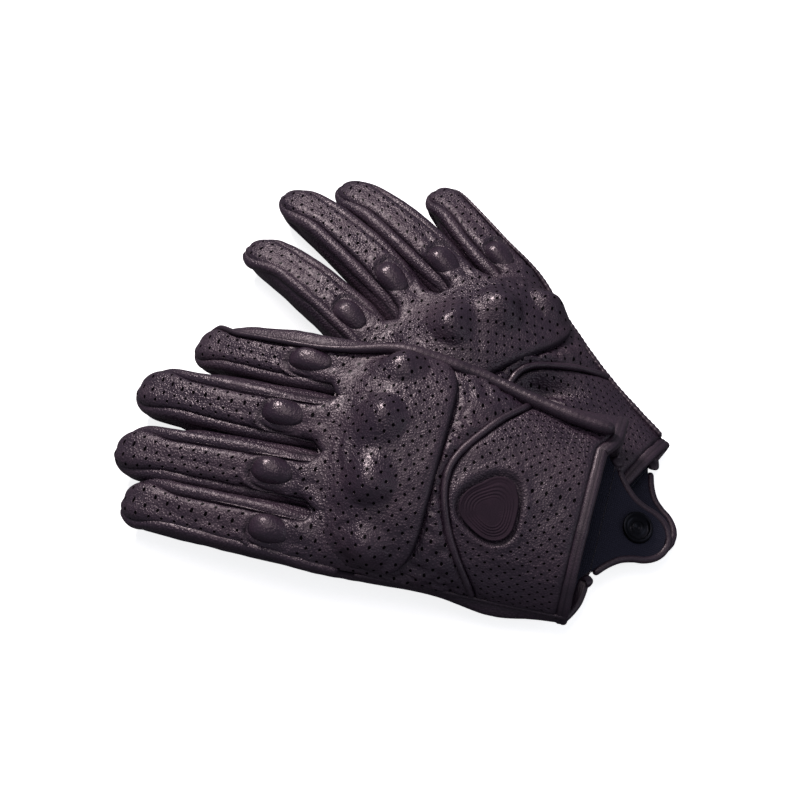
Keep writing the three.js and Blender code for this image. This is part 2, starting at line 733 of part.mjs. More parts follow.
// A plain moulded dome over a finger's middle joint.
function fingerDome(pose, finger) {
  const middle = FINGER_LENGTHS[finger] * 0.195;
  return ringedDisc(2, 10, (ring, turn, inner) => {
    const run = middle + ring * DOME_LENGTH / 2 * Math.cos(turn);
    const aside = ring * DOME_WIDTH / FINGER_WIDTH * Math.sin(turn);
    const spot = { run, finger: Math.PI / 2 + aside, hand: columnMiddle(finger) + aside * 0.2 };
    const rise = DOME_RIM + DOME_RISE * (1 - ring * ring);
    return skinPoint(pose, finger, spot, -LAYER_GAP - (inner ? 0 : rise));
  });
}

// The badge: a triangle with round corners, its top slightly dished.
function badge(pose) {
  const middle = BADGE_ANGLE;
  const along = PALM_LENGTH * BADGE_ALONG_SHARE;
  return ringedDisc(2, 18, (ring, turn, inner) => {
    const reach = ring * BADGE_RADIUS * (1 + 0.13 * Math.cos(3 * turn));
    const angle = middle - reach * Math.sin(turn) / (KNUCKLE_WIDTH / 2);
    const rise = BADGE_THICKNESS - BADGE_DISH * (1 - ring * ring);
    const depth = -LAYER_GAP - (inner ? 0 : rise);
    return handPoint(pose, along + reach * Math.cos(turn), angle, depth);
  });
}

// The angle round the palm at which the cuff's edge lies at a place across.
function palmAngle(pose, y) {
  let [low, high] = [-Math.PI, 0];
  for (let n = 0; n < 40; n += 1) {
    const angle = (low + high) / 2;
    if (handPoint(pose, 0, angle, 0).y > y) high = angle;
    else low = angle;
  }
  return low;
}

// The cuff's edge at an angle: the palm's rim below, the back's edge above.
function cuffEdge(pose, angle, depth) {
  const wrapped = angle > Math.PI ? angle - 2 * Math.PI : angle;
  return wrapped < 0 ? rimPoint(pose, wrapped, 1, depth) : handPoint(pose, 0, wrapped, depth);
}

// The same edge as the palm panel's facets have it, between two of its columns.
function facetedEdge(pose, angle, depth) {
  const wrapped = angle > Math.PI ? angle - 2 * Math.PI : angle;
  const palm = palmAngles();
  const n = palm.findIndex((column) => column <= wrapped);
  if (wrapped >= 0 || n < 1) return cuffEdge(pose, angle, depth);
  const share = (palm[n - 1] - wrapped) / (palm[n - 1] - palm[n]);
  return cuffEdge(pose, palm[n - 1], depth).lerp(cuffEdge(pose, palm[n], depth), share);
}

// The binding round the cuff, from the tongue's thumb end over the back to its
// other end. Its corners lie where the panels have theirs.
function cuffBinding(pose) {
  const clear = BINDING_WIDTH * 0.6;
  const [near, far] = hingeEnds(pose);
  const start = palmAngle(pose, near.y + clear);
  const finish = palmAngle(pose, far.y - clear);
  const palm = palmAngles();
  const angles = [
    start,
    ...palm.filter((angle) => angle > start + 2 * RAD).reverse(),
    ...backAngles().slice(1, -1),
    ...palm.filter((angle) => angle < finish - 2 * RAD).map((angle) => angle + 2 * Math.PI).reverse(),
    finish + 2 * Math.PI,
  ];
  const depth = (LEATHER + LINING_GAP + LINING_THICKNESS) / 2;
  const held = (k) => angles[THREE.MathUtils.clamp(k, 0, angles.length - 1)];
  const place = (k, deep) => facetedEdge(pose, held(k), deep);
  const stations = angles.map((angle, k) => {
    const edge = place(k, depth);
    const outward = place(k, depth - LEATHER).sub(edge).normalize();
    const [behind, ahead] = [edge.clone().sub(place(k - 1, depth)), place(k + 1, depth).sub(edge)];
    const turn = behind.lengthSq() * ahead.lengthSq() > 0 ? behind.angleTo(ahead) : 0;
    const away = ahead.normalize().add(behind.normalize()).cross(outward).normalize();
    if (away.x > 0) away.negate();
    const mitre = 1 / Math.cos(Math.min(turn, 100 * RAD) / 2);
    const centre = edge.addScaledVector(away, (BINDING_WIDTH / 2 + FIT_GAP) * mitre);
    centre.z = Math.max(centre.z, BINDING_THICKNESS / 2);
    return {
      centre,
      across: away.multiplyScalar(BINDING_WIDTH / 2),
      up: outward.multiplyScalar(BINDING_THICKNESS / 2),
    };
  });
  return beadGeometry(stations, 6);
}

// Columns of the lining: every palm column at the hand's edges, fewer elsewhere.
const LINING_BACK_COLUMNS = [2, 4, 7, 10, 12];
function liningAngles() {
  const palm = palmAngles();
  const edge = PALM_CELLS[0];
  const middle = (palm.length - 1) / 2;
  const under = palm.filter((angle, n) => Math.abs(n - middle) >= middle - edge || n === middle);
  const over = backAngles().filter((angle, n) => LINING_BACK_COLUMNS.includes(n));
  return [...over, ...under.map((angle) => angle + 2 * Math.PI).reverse()];
}

// The cloth tube inside the hand, open at both ends. On the palm it follows the rim.
function lining(pose) {
  const sheet = new Sheet();
  const angles = liningAngles();
  const [rows, turns] = [7, angles.length];
  const number = (i, j) => sheet.spot(`${i} ${j % turns}`, { i, j: j % turns });
  for (let i = 0; i < rows; i += 1) {
    for (let j = 0; j < turns; j += 1) {
      sheet.cell(number(i, j), number(i + 1, j), number(i + 1, j + 1), number(i, j + 1));
    }
  }
  return sheet.solid(({ i, j }, inner) => {
    const angle = angles[j];
    const depth = LEATHER + LINING_GAP + (inner ? LINING_THICKNESS : 0);
    const end = Math.min(LINING_LENGTH, lineAlong(pose.web, angle) - BLEND_BACK);
    if (i < 2) {
      const edge = cuffEdge(pose, angle, depth);
      edge.x = (edge.x + FIT_GAP) * (1 - i * 0.5) + FIT_GAP * (1 + 4 * i);
      const mouth = edge.x > 0 ? handPoint(pose, edge.x, angle, depth) : edge;
      return mouth.lerp(sectionMiddle(pose, edge.x), LINING_EASE_SHARE);
    }
    const point = handPoint(pose, mix(FIT_GAP * 12, end, (i - 2) / (rows - 2)), angle, depth);
    return point.lerp(sectionMiddle(pose, point.x), LINING_EASE_SHARE);
  });
}

// The middle of the hand's section at a place along.
function sectionMiddle(pose, along) {
  const [near, far] = [0, Math.PI].map((angle) => handPoint(pose, along, angle, 0));
  return near.add(far).multiplyScalar(0.5);
}

// The raised welt along the little finger's side, from the cuff to its tip.
function outseamWelt(pose) {
  const places = [];
  for (let k = 0; k <= 9; k += 1) places.push({ hand: k / 9 });
  for (const share of [0.6, 0.3, 0]) places.push({ run: -BLEND_BACK * share });
  fingerRuns(3).slice(0, -2).forEach((run) => places.push({ run }));
  const angle = Math.PI - SEAM_ANGLE;
  const place = (k, depth) => {
    const { hand, run } = places[k];
    const web = lineAlong(pose.web, angle);
    if (run === undefined) return handPoint(pose, mix(FIT_GAP, web - BLEND_BACK, hand), angle, depth);
    const spot = { run, hand: angle, finger: Math.PI - seamAngle(3, run) };
    return skinPoint(pose, 3, spot, depth);
  };
  const depth = -WELT_RADIUS - FIT_GAP;
  return seamBead(place, places.length - 1, depth, WELT_RADIUS * 2, WELT_RADIUS * 2, 5);
}

// The thumb's hole in the palm panel, in that panel's rows and cells.
function thumbHole(pose) {
  const twisted = pose.thumb.twist > 45;
  return { rows: [2, 3], cells: twisted ? [0, 1] : [1, 2, 3] };
}

// The thumb: its mouth lies on the palm's outer face, its tube ends in a nose.
function thumbPath(pose) {
  const { along, angle, head, dip } = pose.thumb;
  const start = handPoint(pose, along * PALM_LENGTH, angle * RAD, 0);
  const heading = (n) => {
    const [yaw, pitch] = [head[n] * RAD, dip[n] * RAD];
    const flat = Math.cos(pitch);
    return new THREE.Vector3(flat * Math.cos(yaw), flat * Math.sin(yaw), -Math.sin(pitch));
  };
  const points = [start];
  const steps = 12;
  for (let n = 0; n < steps; n += 1) {
    const share = ease(n / steps * 2.2);
    const ahead = heading(0).lerp(heading(1), share).normalize();
    points.push(points[n].clone().addScaledVector(ahead, THUMB_LENGTH / steps));
  }
  points.slice(1).forEach((point) => {
    point.z = Math.max(point.z, THUMB_DEPTH / 2);
  });
  return new THREE.CatmullRomCurve3(points);
}

function thumbHalf(pose, half) {
  const sheet = new Sheet();
  const path = thumbPath(pose);
  const shares = [0, 0.22, 0.36, 0.5, 0.64, 0.77, 0.87, 0.94, 0.98, 1];
  const cells = 4;
  gridCells(sheet, shares.length - 1, cells);
  const seam = FIT_GAP * 2 / THUMB_DEPTH;
  const twist = pose.thumb.twist * RAD;
  return sheet.solid(({ i, j }, inner) => {
    const turn = mix(seam, Math.PI - seam, j / cells) + half * Math.PI;
    const depth = inner ? LEATHER : 0;
    const [c, s] = [Math.cos(turn), Math.sin(turn)];
    const share = shares[i];
    if (i === 0) {
      const long = THUMB_HOLE_LENGTH / 2 - depth;
      const wide = (THUMB_WIDTH / 2 - depth) / (KNUCKLE_WIDTH / 2);
      const along = pose.thumb.along * PALM_LENGTH + long * (s * Math.cos(twist) - c * Math.sin(twist));
      const angle = pose.thumb.angle * RAD + wide * (c * Math.cos(twist) + s * Math.sin(twist));
      return handPoint(pose, along, angle, -LAYER_GAP);
    }
    const ahead = path.getTangentAt(share);
    const side = new THREE.Vector3(0, 0, 1).cross(ahead).normalize();
    const up = ahead.clone().cross(side).normalize();
    const nose = (share - 0.8) / 0.2;
    const round = nose > 0 ? Math.max(0.08, Math.sqrt(Math.max(0, 1 - nose * nose))) : 1;
    const shrink = round * (1 - 0.15 * share);
    const centre = path.getPointAt(share);
    centre.addScaledVector(ahead, -depth * ease((share - 0.7) / 0.3));
    centre.addScaledVector(side, (THUMB_WIDTH / 2 - depth) * shrink * signedPower(c, 0.85));
    centre.addScaledVector(up, (THUMB_DEPTH / 2 - depth) * shrink * signedPower(s, 0.85));
    return lay(centre, depth);
  });
}

// The closure tongue, flat from its straight hinge line to its round tip.
// share runs from the hinge to the tip, place from -1 to 1 across.
const TONGUE_WIDTH_SHARES = [
  [0, 1], [0.18, 0.74], [0.36, 0.56], [0.55, 0.46], [0.72, 0.41], [0.86, 0.32], [0.95, 0.2], [1, 0.07],
];
function tonguePoint(pose, share, place, above) {
  const [near, far] = hingeEnds(pose);
  const middle = near.clone().add(far).multiplyScalar(0.5);
  const half = near.clone().sub(far).multiplyScalar(0.5);
  const width = readTable(TONGUE_WIDTH_SHARES, 1, share);
  const point = middle.addScaledVector(half, width * place);
  point.x -= FIT_GAP + TONGUE_LENGTH * share;
  point.z -= Math.sin(pose.tongueDrop) * TONGUE_LENGTH * share;
  point.z += above;
  return point;
}

function tongueLayer(pose, low, thickness) {
  const sheet = new Sheet();
  const shares = TONGUE_WIDTH_SHARES.map((row) => row[0]);
  const columns = 6;
  gridCells(sheet, shares.length - 1, columns);
  return sheet.solid(({ i, j }, inner) => tonguePoint(
    pose, shares[i], 2 * j / columns - 1, low + (inner ? thickness : 0)));
}

const tongueLeather = (pose) => tongueLayer(pose, 0, LEATHER);
const tongueLining = (pose) => tongueLayer(pose, LEATHER + FIT_GAP, LINING_THICKNESS);
const TONGUE_THICKNESS = LEATHER + FIT_GAP + LINING_THICKNESS;

function tongueBinding(pose) {
  const start = TONGUE_BINDING_START / TONGUE_LENGTH;
  const outline = [];
  const sides = [0, 0.14, 0.3, 0.46, 0.62, 0.76, 0.88, 0.96, 1].map((s) => mix(start, 1, s));
  sides.forEach((share) => outline.push([share, 1]));
  outline.push([1, 0]);
  [...sides].reverse().forEach((share) => outline.push([share, -1]));
  const points = outline.map(([share, place]) => (
    tonguePoint(pose, share, place, TONGUE_THICKNESS / 2)));
  const offset = TONGUE_BINDING_RADIUS + FIT_GAP;
  const stations = points.map((point, n) => {
    const ahead = points[Math.min(n + 1, points.length - 1)].clone().sub(points[Math.max(n - 1, 0)]);
    const up = new THREE.Vector3(0, 0, 1);
    const outward = ahead.cross(up).normalize();
    if (outward.dot(point.clone().sub(tonguePoint(pose, 0.5, 0, 0))) < 0) outward.negate();
    return {
      centre: point.clone().addScaledVector(outward, offset),
      across: outward.multiplyScalar(TONGUE_BINDING_RADIUS),
      up: up.multiplyScalar(TONGUE_BINDING_RADIUS),
    };
  });
  return beadGeometry(stations, 6);
}

// The snap on the tongue: a dished socket above, a cap below.
function snapDisc(pose, low, height, dish) {
  const centre = tonguePoint(pose, 0.53, -0.12, low);
  const slope = Math.sin(pose.tongueDrop);
  const [near, far] = hingeEnds(pose);
  const tilt = (near.z - far.z) / (near.y - far.y);
  const rings = [0, 1 - SNAP_RIM / SNAP_RADIUS - 0.1, 1 - SNAP_RIM / SNAP_RADIUS, 1];
  return ringedDisc(3, 12, (ring, turn, inner) => {
    const reach = rings[Math.round(ring * 3)] * SNAP_RADIUS;
    const point = centre.clone();
    point.x += reach * Math.cos(turn);
    point.y += reach * Math.sin(turn);
    point.z += reach * (Math.cos(turn) * slope + Math.sin(turn) * tilt);
    const sunk = ring < 0.5 ? dish : 0;
    point.z += inner ? 0 : height - sunk;
    return point;
  });
}
const snapSocket = (pose) => snapDisc(pose, TONGUE_THICKNESS + FIT_GAP, SNAP_HEIGHT, SNAP_DISH);
const snapCap = (pose) => snapDisc(pose, -FIT_GAP - SNAP_CAP_HEIGHT, SNAP_CAP_HEIGHT, 0);

// Gathers the pieces of one glove in its own group.
function buildGlove(prefix, pose, heading, x, y) {
  pose.paths = [0, 1, 2, 3].map((finger) => fingerPath(pose, finger));
  const glove = new THREE.Group();
  const add = (name, geometry, look) => {
    const mesh = new THREE.Mesh(geometry, new THREE.MeshStandardMaterial(look));
    mesh.name = `${prefix}_${name}`;
    glove.add(mesh);
  };
  add('back_panel', backPanel(pose), BLACK_LEATHER);
  add('palm_panel', palmPanel(pose), PLAIN_LEATHER);
  for (let n = 0; n < 3; n += 1) add(`fourchette_${n + 1}`, fourchette(pose, n), PLAIN_LEATHER);
  for (let n = 0; n < 4; n += 1) add(`finger_dome_${n + 1}`, fingerDome(pose, n), PLAIN_LEATHER);
  add('knuckle_shell', knuckleShell(pose), HARD_SHELL);
  add('knuckle_cover', knuckleCover(pose), BLACK_LEATHER);
  add('cuff_panel', cuffPanel(pose), BLACK_LEATHER);
  add('cuff_piping', cuffPiping(pose), TRIM_LEATHER);
  add('badge', badge(pose), DARK_RUBBER);
  add('cuff_binding', cuffBinding(pose), TRIM_LEATHER);
  add('lining', lining(pose), NAVY_CLOTH);
  add('outseam_welt', outseamWelt(pose), PLAIN_LEATHER);
  add('thumb_back', thumbHalf(pose, 0), PLAIN_LEATHER);
  add('thumb_front', thumbHalf(pose, 1), PLAIN_LEATHER);
  add('tongue_leather', tongueLeather(pose), PLAIN_LEATHER);
  add('tongue_lining', tongueLining(pose), NAVY_CLOTH);
  add('tongue_binding', tongueBinding(pose), TRIM_LEATHER);
  add('snap_socket', snapSocket(pose), DARK_METAL);
  add('snap_cap', snapCap(pose), DARK_METAL);
  glove.rotation.z = Math.PI - heading * RAD;
  glove.position.set(x, y, 0);
  return glove;
}

const gloves = new THREE.Group();
const [frontX, frontY] = FRONT_OFF_SHARES.map((share) => share * KNUCKLE_WIDTH);
gloves.add(buildGlove('rear', REAR_POSE, REAR_HEADING, REAR_CUFF_X, REAR_CUFF_Y));
gloves.add(buildGlove('front', FRONT_POSE, FRONT_HEADING, REAR_CUFF_X + frontX, REAR_CUFF_Y + frontY));

export default gloves;
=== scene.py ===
"""Looks of a pair of short-cuff leather riding gloves, one lying on the other.

Every surface is drawn in millimetres in its own glove's axes: X runs from the cuff to
the fingertips, Y towards the thumb's side and Z up. The pieces are laid in metres.
"""

import logging
import math
from collections.abc import Callable
from dataclasses import dataclass, field
from enum import Enum

import bpy
import numpy as np
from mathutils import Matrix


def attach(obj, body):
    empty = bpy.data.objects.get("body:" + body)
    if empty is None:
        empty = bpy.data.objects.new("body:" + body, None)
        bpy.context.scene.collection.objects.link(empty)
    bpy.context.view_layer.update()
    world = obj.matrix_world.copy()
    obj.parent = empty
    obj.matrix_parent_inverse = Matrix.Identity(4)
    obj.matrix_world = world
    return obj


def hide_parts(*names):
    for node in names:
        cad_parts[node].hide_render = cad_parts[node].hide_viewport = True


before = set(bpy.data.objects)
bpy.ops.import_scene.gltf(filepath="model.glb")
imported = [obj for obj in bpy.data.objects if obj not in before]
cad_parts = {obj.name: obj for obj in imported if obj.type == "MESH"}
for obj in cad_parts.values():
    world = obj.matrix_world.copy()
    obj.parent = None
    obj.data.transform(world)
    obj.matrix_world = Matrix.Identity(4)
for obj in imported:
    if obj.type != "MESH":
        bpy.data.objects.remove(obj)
LOG = logging.getLogger("gloves")
MM = 0.001
RAD = math.pi / 180
Array = np.ndarray
Place = Callable[[float], Array]


# ---------------------------------------------------------------- numbers


def ease(x: Array | float) -> Array:
    """A smooth step from 0 to 1."""
    x = np.clip(x, 0.0, 1.0)
    return x * x * (3 - 2 * x)


def mix(a: Array | float, b: Array | float, t: Array | float) -> Array:
    """A straight blend from a to b."""
    return a + (b - a) * t


def power(x: Array, p: float) -> Array:
    """x to the power p, with x's sign kept."""
    return np.sign(x) * np.abs(x) ** p


def unit(v: Array) -> Array:
    """Vectors of length one along the last axis."""
    return v / np.maximum(np.linalg.norm(v, axis=-1, keepdims=True), 1e-9)


def bell(x: Array, width: float) -> Array:
    """A smooth bump of height one at x = 0."""
    return np.exp(-((x / width) ** 2))


def shoulder(x: Array) -> Array:
    """A rounded rise from 0 to 1 as x goes from 0 to 1."""
    return np.sqrt(np.maximum(0.0, 1 - (1 - np.clip(x, 0, 1)) ** 2))


def noise(x: Array, y: Array, seed: float = 0.0) -> Array:
    """Smooth, repeatable noise between -1 and 1 with cells of size one.

    Args:
        x: Places along the first axis.
        y: Places along the second axis.
        seed: Picks another pattern.

    Returns:
        The noise at each place.
    """
    xi, yi = np.floor(x), np.floor(y)
    u, v = ease(x - xi), ease(y - yi)

    def corner(a: Array, b: Array) -> Array:
        """The value at a cell's corner."""
        h = np.sin(a * 127.1 + b * 311.7 + seed * 74.7) * 43758.5453
        return 2 * (h - np.floor(h)) - 1

    low = mix(corner(xi, yi), corner(xi + 1, yi), u)
    high = mix(corner(xi, yi + 1), corner(xi + 1, yi + 1), u)
    return mix(low, high, v)


def read_table(table: Array, column: int, place: Array) -> Array:
    """Reads a smooth value from a table whose first column is the place.

    Args:
        table: Rows of numbers in rising order of place.
        column: The column to read.
        place: Places to read at.

    Returns:
        The values.
    """
    xs, ys = table[:, 0], table[:, column]
    last = len(xs) - 1
    k = np.searchsorted(xs[1:-1], place, side="left")
    after, before = np.minimum(np.arange(last + 1) + 1, last), np.maximum(np.arange(last + 1) - 1, 0)
    slopes = (ys[after] - ys[before]) / (xs[after] - xs[before])
    span = xs[k + 1] - xs[k]
    raw = np.clip((place - xs[k]) / span, -0.5, 1.2)
    t = np.clip(raw, 0, 1)
    m0, m1 = slopes[k] * span, slopes[k + 1] * span
    t2, t3 = t * t, t * t * t
    value = (2 * t3 - 3 * t2 + 1) * ys[k] + (t3 - 2 * t2 + t) * m0
    value = value + (3 * t2 - 2 * t3) * ys[k + 1] + (t3 - t2) * m1
    return value + np.where(raw < 0, m0 * raw, 0) + np.where(raw > 1, m1 * (raw - 1), 0)


class Path:
    """A line in space, read by a share of its length."""

    def __init__(self, points: Array) -> None:
        """Keeps dense points of the line."""
        steps = np.linalg.norm(np.diff(points, axis=0), axis=1)
        self.points = points
        self.places = np.concatenate([[0], np.cumsum(steps)]) / steps.sum()
        self.length = float(steps.sum())
        self.ahead = unit(np.gradient(points, axis=0))

    def at(self, share: Array) -> tuple[Array, Array]:
        """The points and the directions at shares of the length."""
        read = [np.interp(share, self.places, c) for c in self.points.T]
        turn = [np.interp(share, self.places, c) for c in self.ahead.T]
        return np.stack(read, -1), unit(np.stack(turn, -1))


# ---------------------------------------------------------------- the shape of a glove


class Side(Enum):
    """The two covers of the hand."""

    BACK = 1
    PALM = -1


@dataclass(frozen=True)
class Pose:
    """How one glove lies: section tables, finger headings and its place."""

    name: str
    sections: tuple
    web: tuple
    reach: tuple
    head: tuple
    dip: tuple
    roll: tuple
    thumb: dict
    tongue_drop: float
    tongue_side: float
    heading: float
    cuff: tuple
    taper: float
    side_bulge: float
    seams: tuple
    puff: float
    cuff_in: float
    seam_turn: float
    welt: tuple
    fold: tuple


REAR = Pose(
    name="rear",
    sections=(
        (-0.1, 0.375, 0.11, -0.29, 0.2, 0.27, 0.13, 0),
        (0, 0.375, 0.11, -0.3, 0.21, 0.28, 0.13, 0),
        (0.3, 0.36, 0.2, -0.37, 0.26, 0.42, 0.26, 0),
        (0.54, 0.355, 0.28, -0.46, 0.31, 0.6, 0.32, 0),
        (0.8, 0.345, 0.36, -0.57, 0.34, 0.755, 0.36, 0),
        (1.0, 0.34, 0.38, -0.65, 0.34, 0.535, 0.34, 0),
        (1.2, 0.32, 0.36, -0.72, 0.32, 0.36, 0.3, 0),
    ),
    web=(1.04, 1.033, 0.975, 0.85, 0.785),
    reach=((0.965, -0.06, -0.1), (1.0, -0.14, -0.1), (0.975, -0.14, -0.1), (0.86, -0.25, -0.1)),
    head=((-7, 0), (-14, -4), (-10, -5), (-8, -16)),
    dip=((2, 16), (2, 16), (2, 16), (2, 16)),
    roll=((-4, 0), (0, 0), (4, 0), (8, 0)),
    thumb={"along": 0.47, "angle": -12, "twist": 90, "head": (58, 22), "dip": (8, 0)},
    tongue_drop=-0.02,
    tongue_side=0.045,
    heading=41,
    cuff=(98.9, -46.7),
    taper=0.38,
    side_bulge=0.0,
    seams=(60 * RAD, 42 * RAD),
    puff=1.6,
    cuff_in=0.0,
    seam_turn=0.0,
    welt=(1.35, 1.25),
    fold=(10.0, 76.0, 7.0),
)
FRONT = Pose(
    name="front",
    sections=(
        (-0.1, 0.365, 0.32, -0.57, 0.76, 0.68, 0.1, 0.6),
        (0, 0.365, 0.32, -0.57, 0.79, 0.7, 0.1, 0.6),
        (0.3, 0.385, 0.38, -0.525, 1.0, 0.66, 0.14, 0.4),
        (0.54, 0.415, 0.5, -0.55, 1.12, 0.63, 0.17, 0.2),
        (0.8, 0.45, 0.56, -0.565, 1.2, 0.6, 0.2, 0),
        (1.0, 0.465, 0.5, -0.55, 1.12, 0.42, 0.26, 0),
        (1.2, 0.47, 0.42, -0.53, 1.0, 0.3, 0.28, 0),
    ),
    web=(0.925, 0.94, 0.99, 0.98, 0.975),
    reach=((1.0, -0.042, -0.16), (0.99, -0.008, -0.2), (1.0, -0.09, -0.27), (0.98, -0.13, -0.37)),
    head=((-1, -8), (3, -3), (3, -11), (2, -12)),
    dip=((4, 20), (6, 22), (8, 26), (12, 30)),
    roll=((-20, -8), (-16, -6), (-12, -4), (-10, -2)),
    thumb={"along": 0.44, "angle": -52, "twist": 0, "head": (-10, -22), "dip": (50, 0)},
    tongue_drop=0.22,
    tongue_side=-0.015,
    heading=15.5,
    cuff=(81.9, -79.7),
    taper=0.16,
    side_bulge=4.5,
    seams=(40 * RAD, 62 * RAD),
    puff=3.6,
    cuff_in=5.0,
    seam_turn=31 * RAD,
    welt=(3.1, 1.3),
    fold=(9.0, 62.0, 0.0),
)


@dataclass
class Skin:
    """The leather surface of one glove. out is a distance outwards from it."""

    pose: Pose
    palm: float = 120.0
    knuckles: float = 100.0
    depth: float = 34.0
    lengths: tuple = (87.0, 95.0, 92.0, 76.0)
    finger_width: float = 24.5
    finger_depth: float = 20.0
    dome_share: float = 0.195
    edge_power: float = 0.84
    blend_back: float = 22.0
    blend_ahead: float = 14.0
    crotch: float = 4.5
    setback: float = 3.6
    side_seam: float = 14 * RAD
    under_seam: float = 36 * RAD
    nose_seam: float = 5 * RAD
    piping: tuple = (0.33, 0.47, 0.52, 0.42, 0.29)
    columns: Array = field(init=False)
    paths: list = field(init=False)

    def __post_init__(self) -> None:
        """Lays the four fingers' middle lines."""
        self.table = np.array(self.pose.sections, float)
        self.columns = self.across_angle(np.array([1, 0.5, 0, -0.5, -1.0]))
        self.paths = [self.finger_path(n) for n in range(4)]

    def across_angle(self, share: Array | float) -> Array:
        """The angle round the hand at a share of its half width."""
        return np.arccos(power(np.asarray(share, float), 1 / self.edge_power))

    def middle(self, n: int) -> float:
        """The angle at the middle of a finger's column."""
        return float(self.across_angle(0.75 - 0.5 * n))

    def line(self, shares: tuple, angle: Array) -> Array:
        """The place along of a line across the hand at angles round it."""
        across = power(np.cos(angle), self.edge_power)
        table = np.array(list(enumerate(shares)), float)
        return self.palm * read_table(table, 1, (1 - across) * 0.5 * (len(shares) - 1))

    def web(self, angle: Array) -> Array:
        """The crotch line."""
        return self.line(self.pose.web, angle)

    def hand(self, along: Array, angle: Array, out: Array | float = 0.0) -> Array:
        """The hand's surface: angle 0 is the thumb's side and 90 degrees the back."""
        along, angle, out = np.broadcast_arrays(*(np.asarray(v, float) for v in (along, angle, out)))
        off = np.mod(angle, 2 * math.pi) - (math.pi - self.side_seam)
        angle = angle - self.pose.seam_turn * ease(1 - along / 62) * bell(off, 0.75)
        read = [read_table(self.table, c, along / self.palm) for c in range(1, 8)]
        near = np.stack([read[0] * self.knuckles, read[1] * self.depth], -1)
        far = np.stack([read[2] * self.knuckles, read[3] * self.depth], -1)
        middle, half = (near + far) / 2, (near - far) / 2
        size = np.linalg.norm(half, axis=-1)
        side = half / size[..., None]
        c, s = np.cos(angle), np.sin(angle)
        across = (size + out) * power(c, self.edge_power)
        crown = read[4] * self.depth + out
        belly = read[5] * self.depth * (1 + read[6] * c) + out
        up = np.where(s > 0, crown * s, belly * s)
        y = middle[..., 0] + side[..., 0] * across - side[..., 1] * up
        z = middle[..., 1] + side[..., 1] * across + side[..., 0] * up
        return np.stack([along, y, np.maximum(z, np.maximum(-out, 0.0))], -1)

    def finger_path(self, n: int) -> Path:
        """The middle line of a finger, from its crotch line to its tip."""
        angle = self.middle(n)
        along = self.web(np.array(angle))
        start = (self.hand(along, angle) + self.hand(along, -angle)) / 2
        length = self.lengths[n]
        end = start + np.array(self.pose.reach[n]) * length
        end[2] = max(end[2], self.finger_depth * 0.4)
        turns = []
        for k in range(2):
            yaw, pitch = self.pose.head[n][k] * RAD, self.pose.dip[n][k] * RAD
            flat = math.cos(pitch)
            turns.append(np.array([flat * math.cos(yaw), flat * math.sin(yaw), -math.sin(pitch)]))
        a, b = start + turns[0] * length * 0.36, end - turns[1] * length * 0.36
        t = np.linspace(0, 1, 300)[:, None]
        return Path((1 - t) ** 3 * start + 3 * (1 - t) ** 2 * t * a + 3 * (1 - t) * t * t * b + t**3 * end)

    def finger(self, n: int, run: Array, angle: Array, out: Array | float = 0.0) -> Array:
        """A finger's surface: run starts at the crotch line, 90 degrees is its back."""
        run, angle, out = np.broadcast_arrays(*(np.asarray(v, float) for v in (run, angle, out)))
        share = np.clip(run / self.lengths[n], 0, 1)
        centre, ahead = self.paths[n].at(share)
        push = np.minimum(run, 0) + out * ease((share - 0.75) / 0.25)
        centre = centre + ahead * push[..., None]
        side = unit(np.cross([0.0, 0.0, 1.0], ahead))
        up = unit(np.cross(ahead, side))
        low, high = self.pose.roll[n]
        roll = (mix(low, high, share) * RAD)[..., None]
        tilted, back = side * np.cos(roll) + up * np.sin(roll), up * np.cos(roll) - side * np.sin(roll)
        nose = np.clip((share - 0.84) / 0.16, 0, 1)
        shrink = (1 - self.pose.taper * share**2) * np.maximum(0.015, np.sqrt(1 - nose * nose))
        shrink = shrink * (0.92 if n == 3 else 1)
        across = (self.finger_width / 2 + out) * shrink * power(np.cos(angle), 0.8)
        rise = (self.finger_depth / 2 + out) * shrink * power(np.sin(angle), 0.8)
        point = centre + tilted * across[..., None] + back * rise[..., None]
        point[..., 2] = np.maximum(point[..., 2], np.maximum(-out, 0.0))
        return point

    def skin(self, n: int, run: Array, hand: Array, tip: Array, along: Array, out: Array | float) -> Array:
        """The hand's surface, turning into a finger's round the crotch line."""
        share = ease((np.asarray(run, float) + self.blend_back) / (self.blend_back + self.blend_ahead))
        onto = self.finger(n, run, tip, out)
        return mix(self.hand(along, hand, out), onto, np.broadcast_to(share, onto.shape[:-1])[..., None])

    def seam(self, n: int, run: Array, start: float) -> Array:
        """A finger's seam angle, which closes in towards its nose."""
        return mix(start, self.nose_seam, ease((run / self.lengths[n] - 0.66) / 0.34))

    def limits(self, side: Side, n: int, run: Array) -> tuple[float, float, Array, Array]:
        """The angles that a column covers, on the hand and on its finger."""
        thumb, little = (self.seam(n, run, seam) for seam in self.pose.seams)
        if side is Side.BACK:
            start = self.side_seam if n == 0 else self.columns[n]
            end = math.pi - self.side_seam if n == 3 else self.columns[n + 1]
            return start, end, thumb, math.pi - little
        seam = self.seam(n, run, self.under_seam)
        start = self.side_seam if n == 0 else -self.columns[n]
        end = -math.pi - self.side_seam if n == 3 else -self.columns[n + 1]
        return start, end, thumb if n == 0 else -seam, -math.pi - little if n == 3 else seam - math.pi

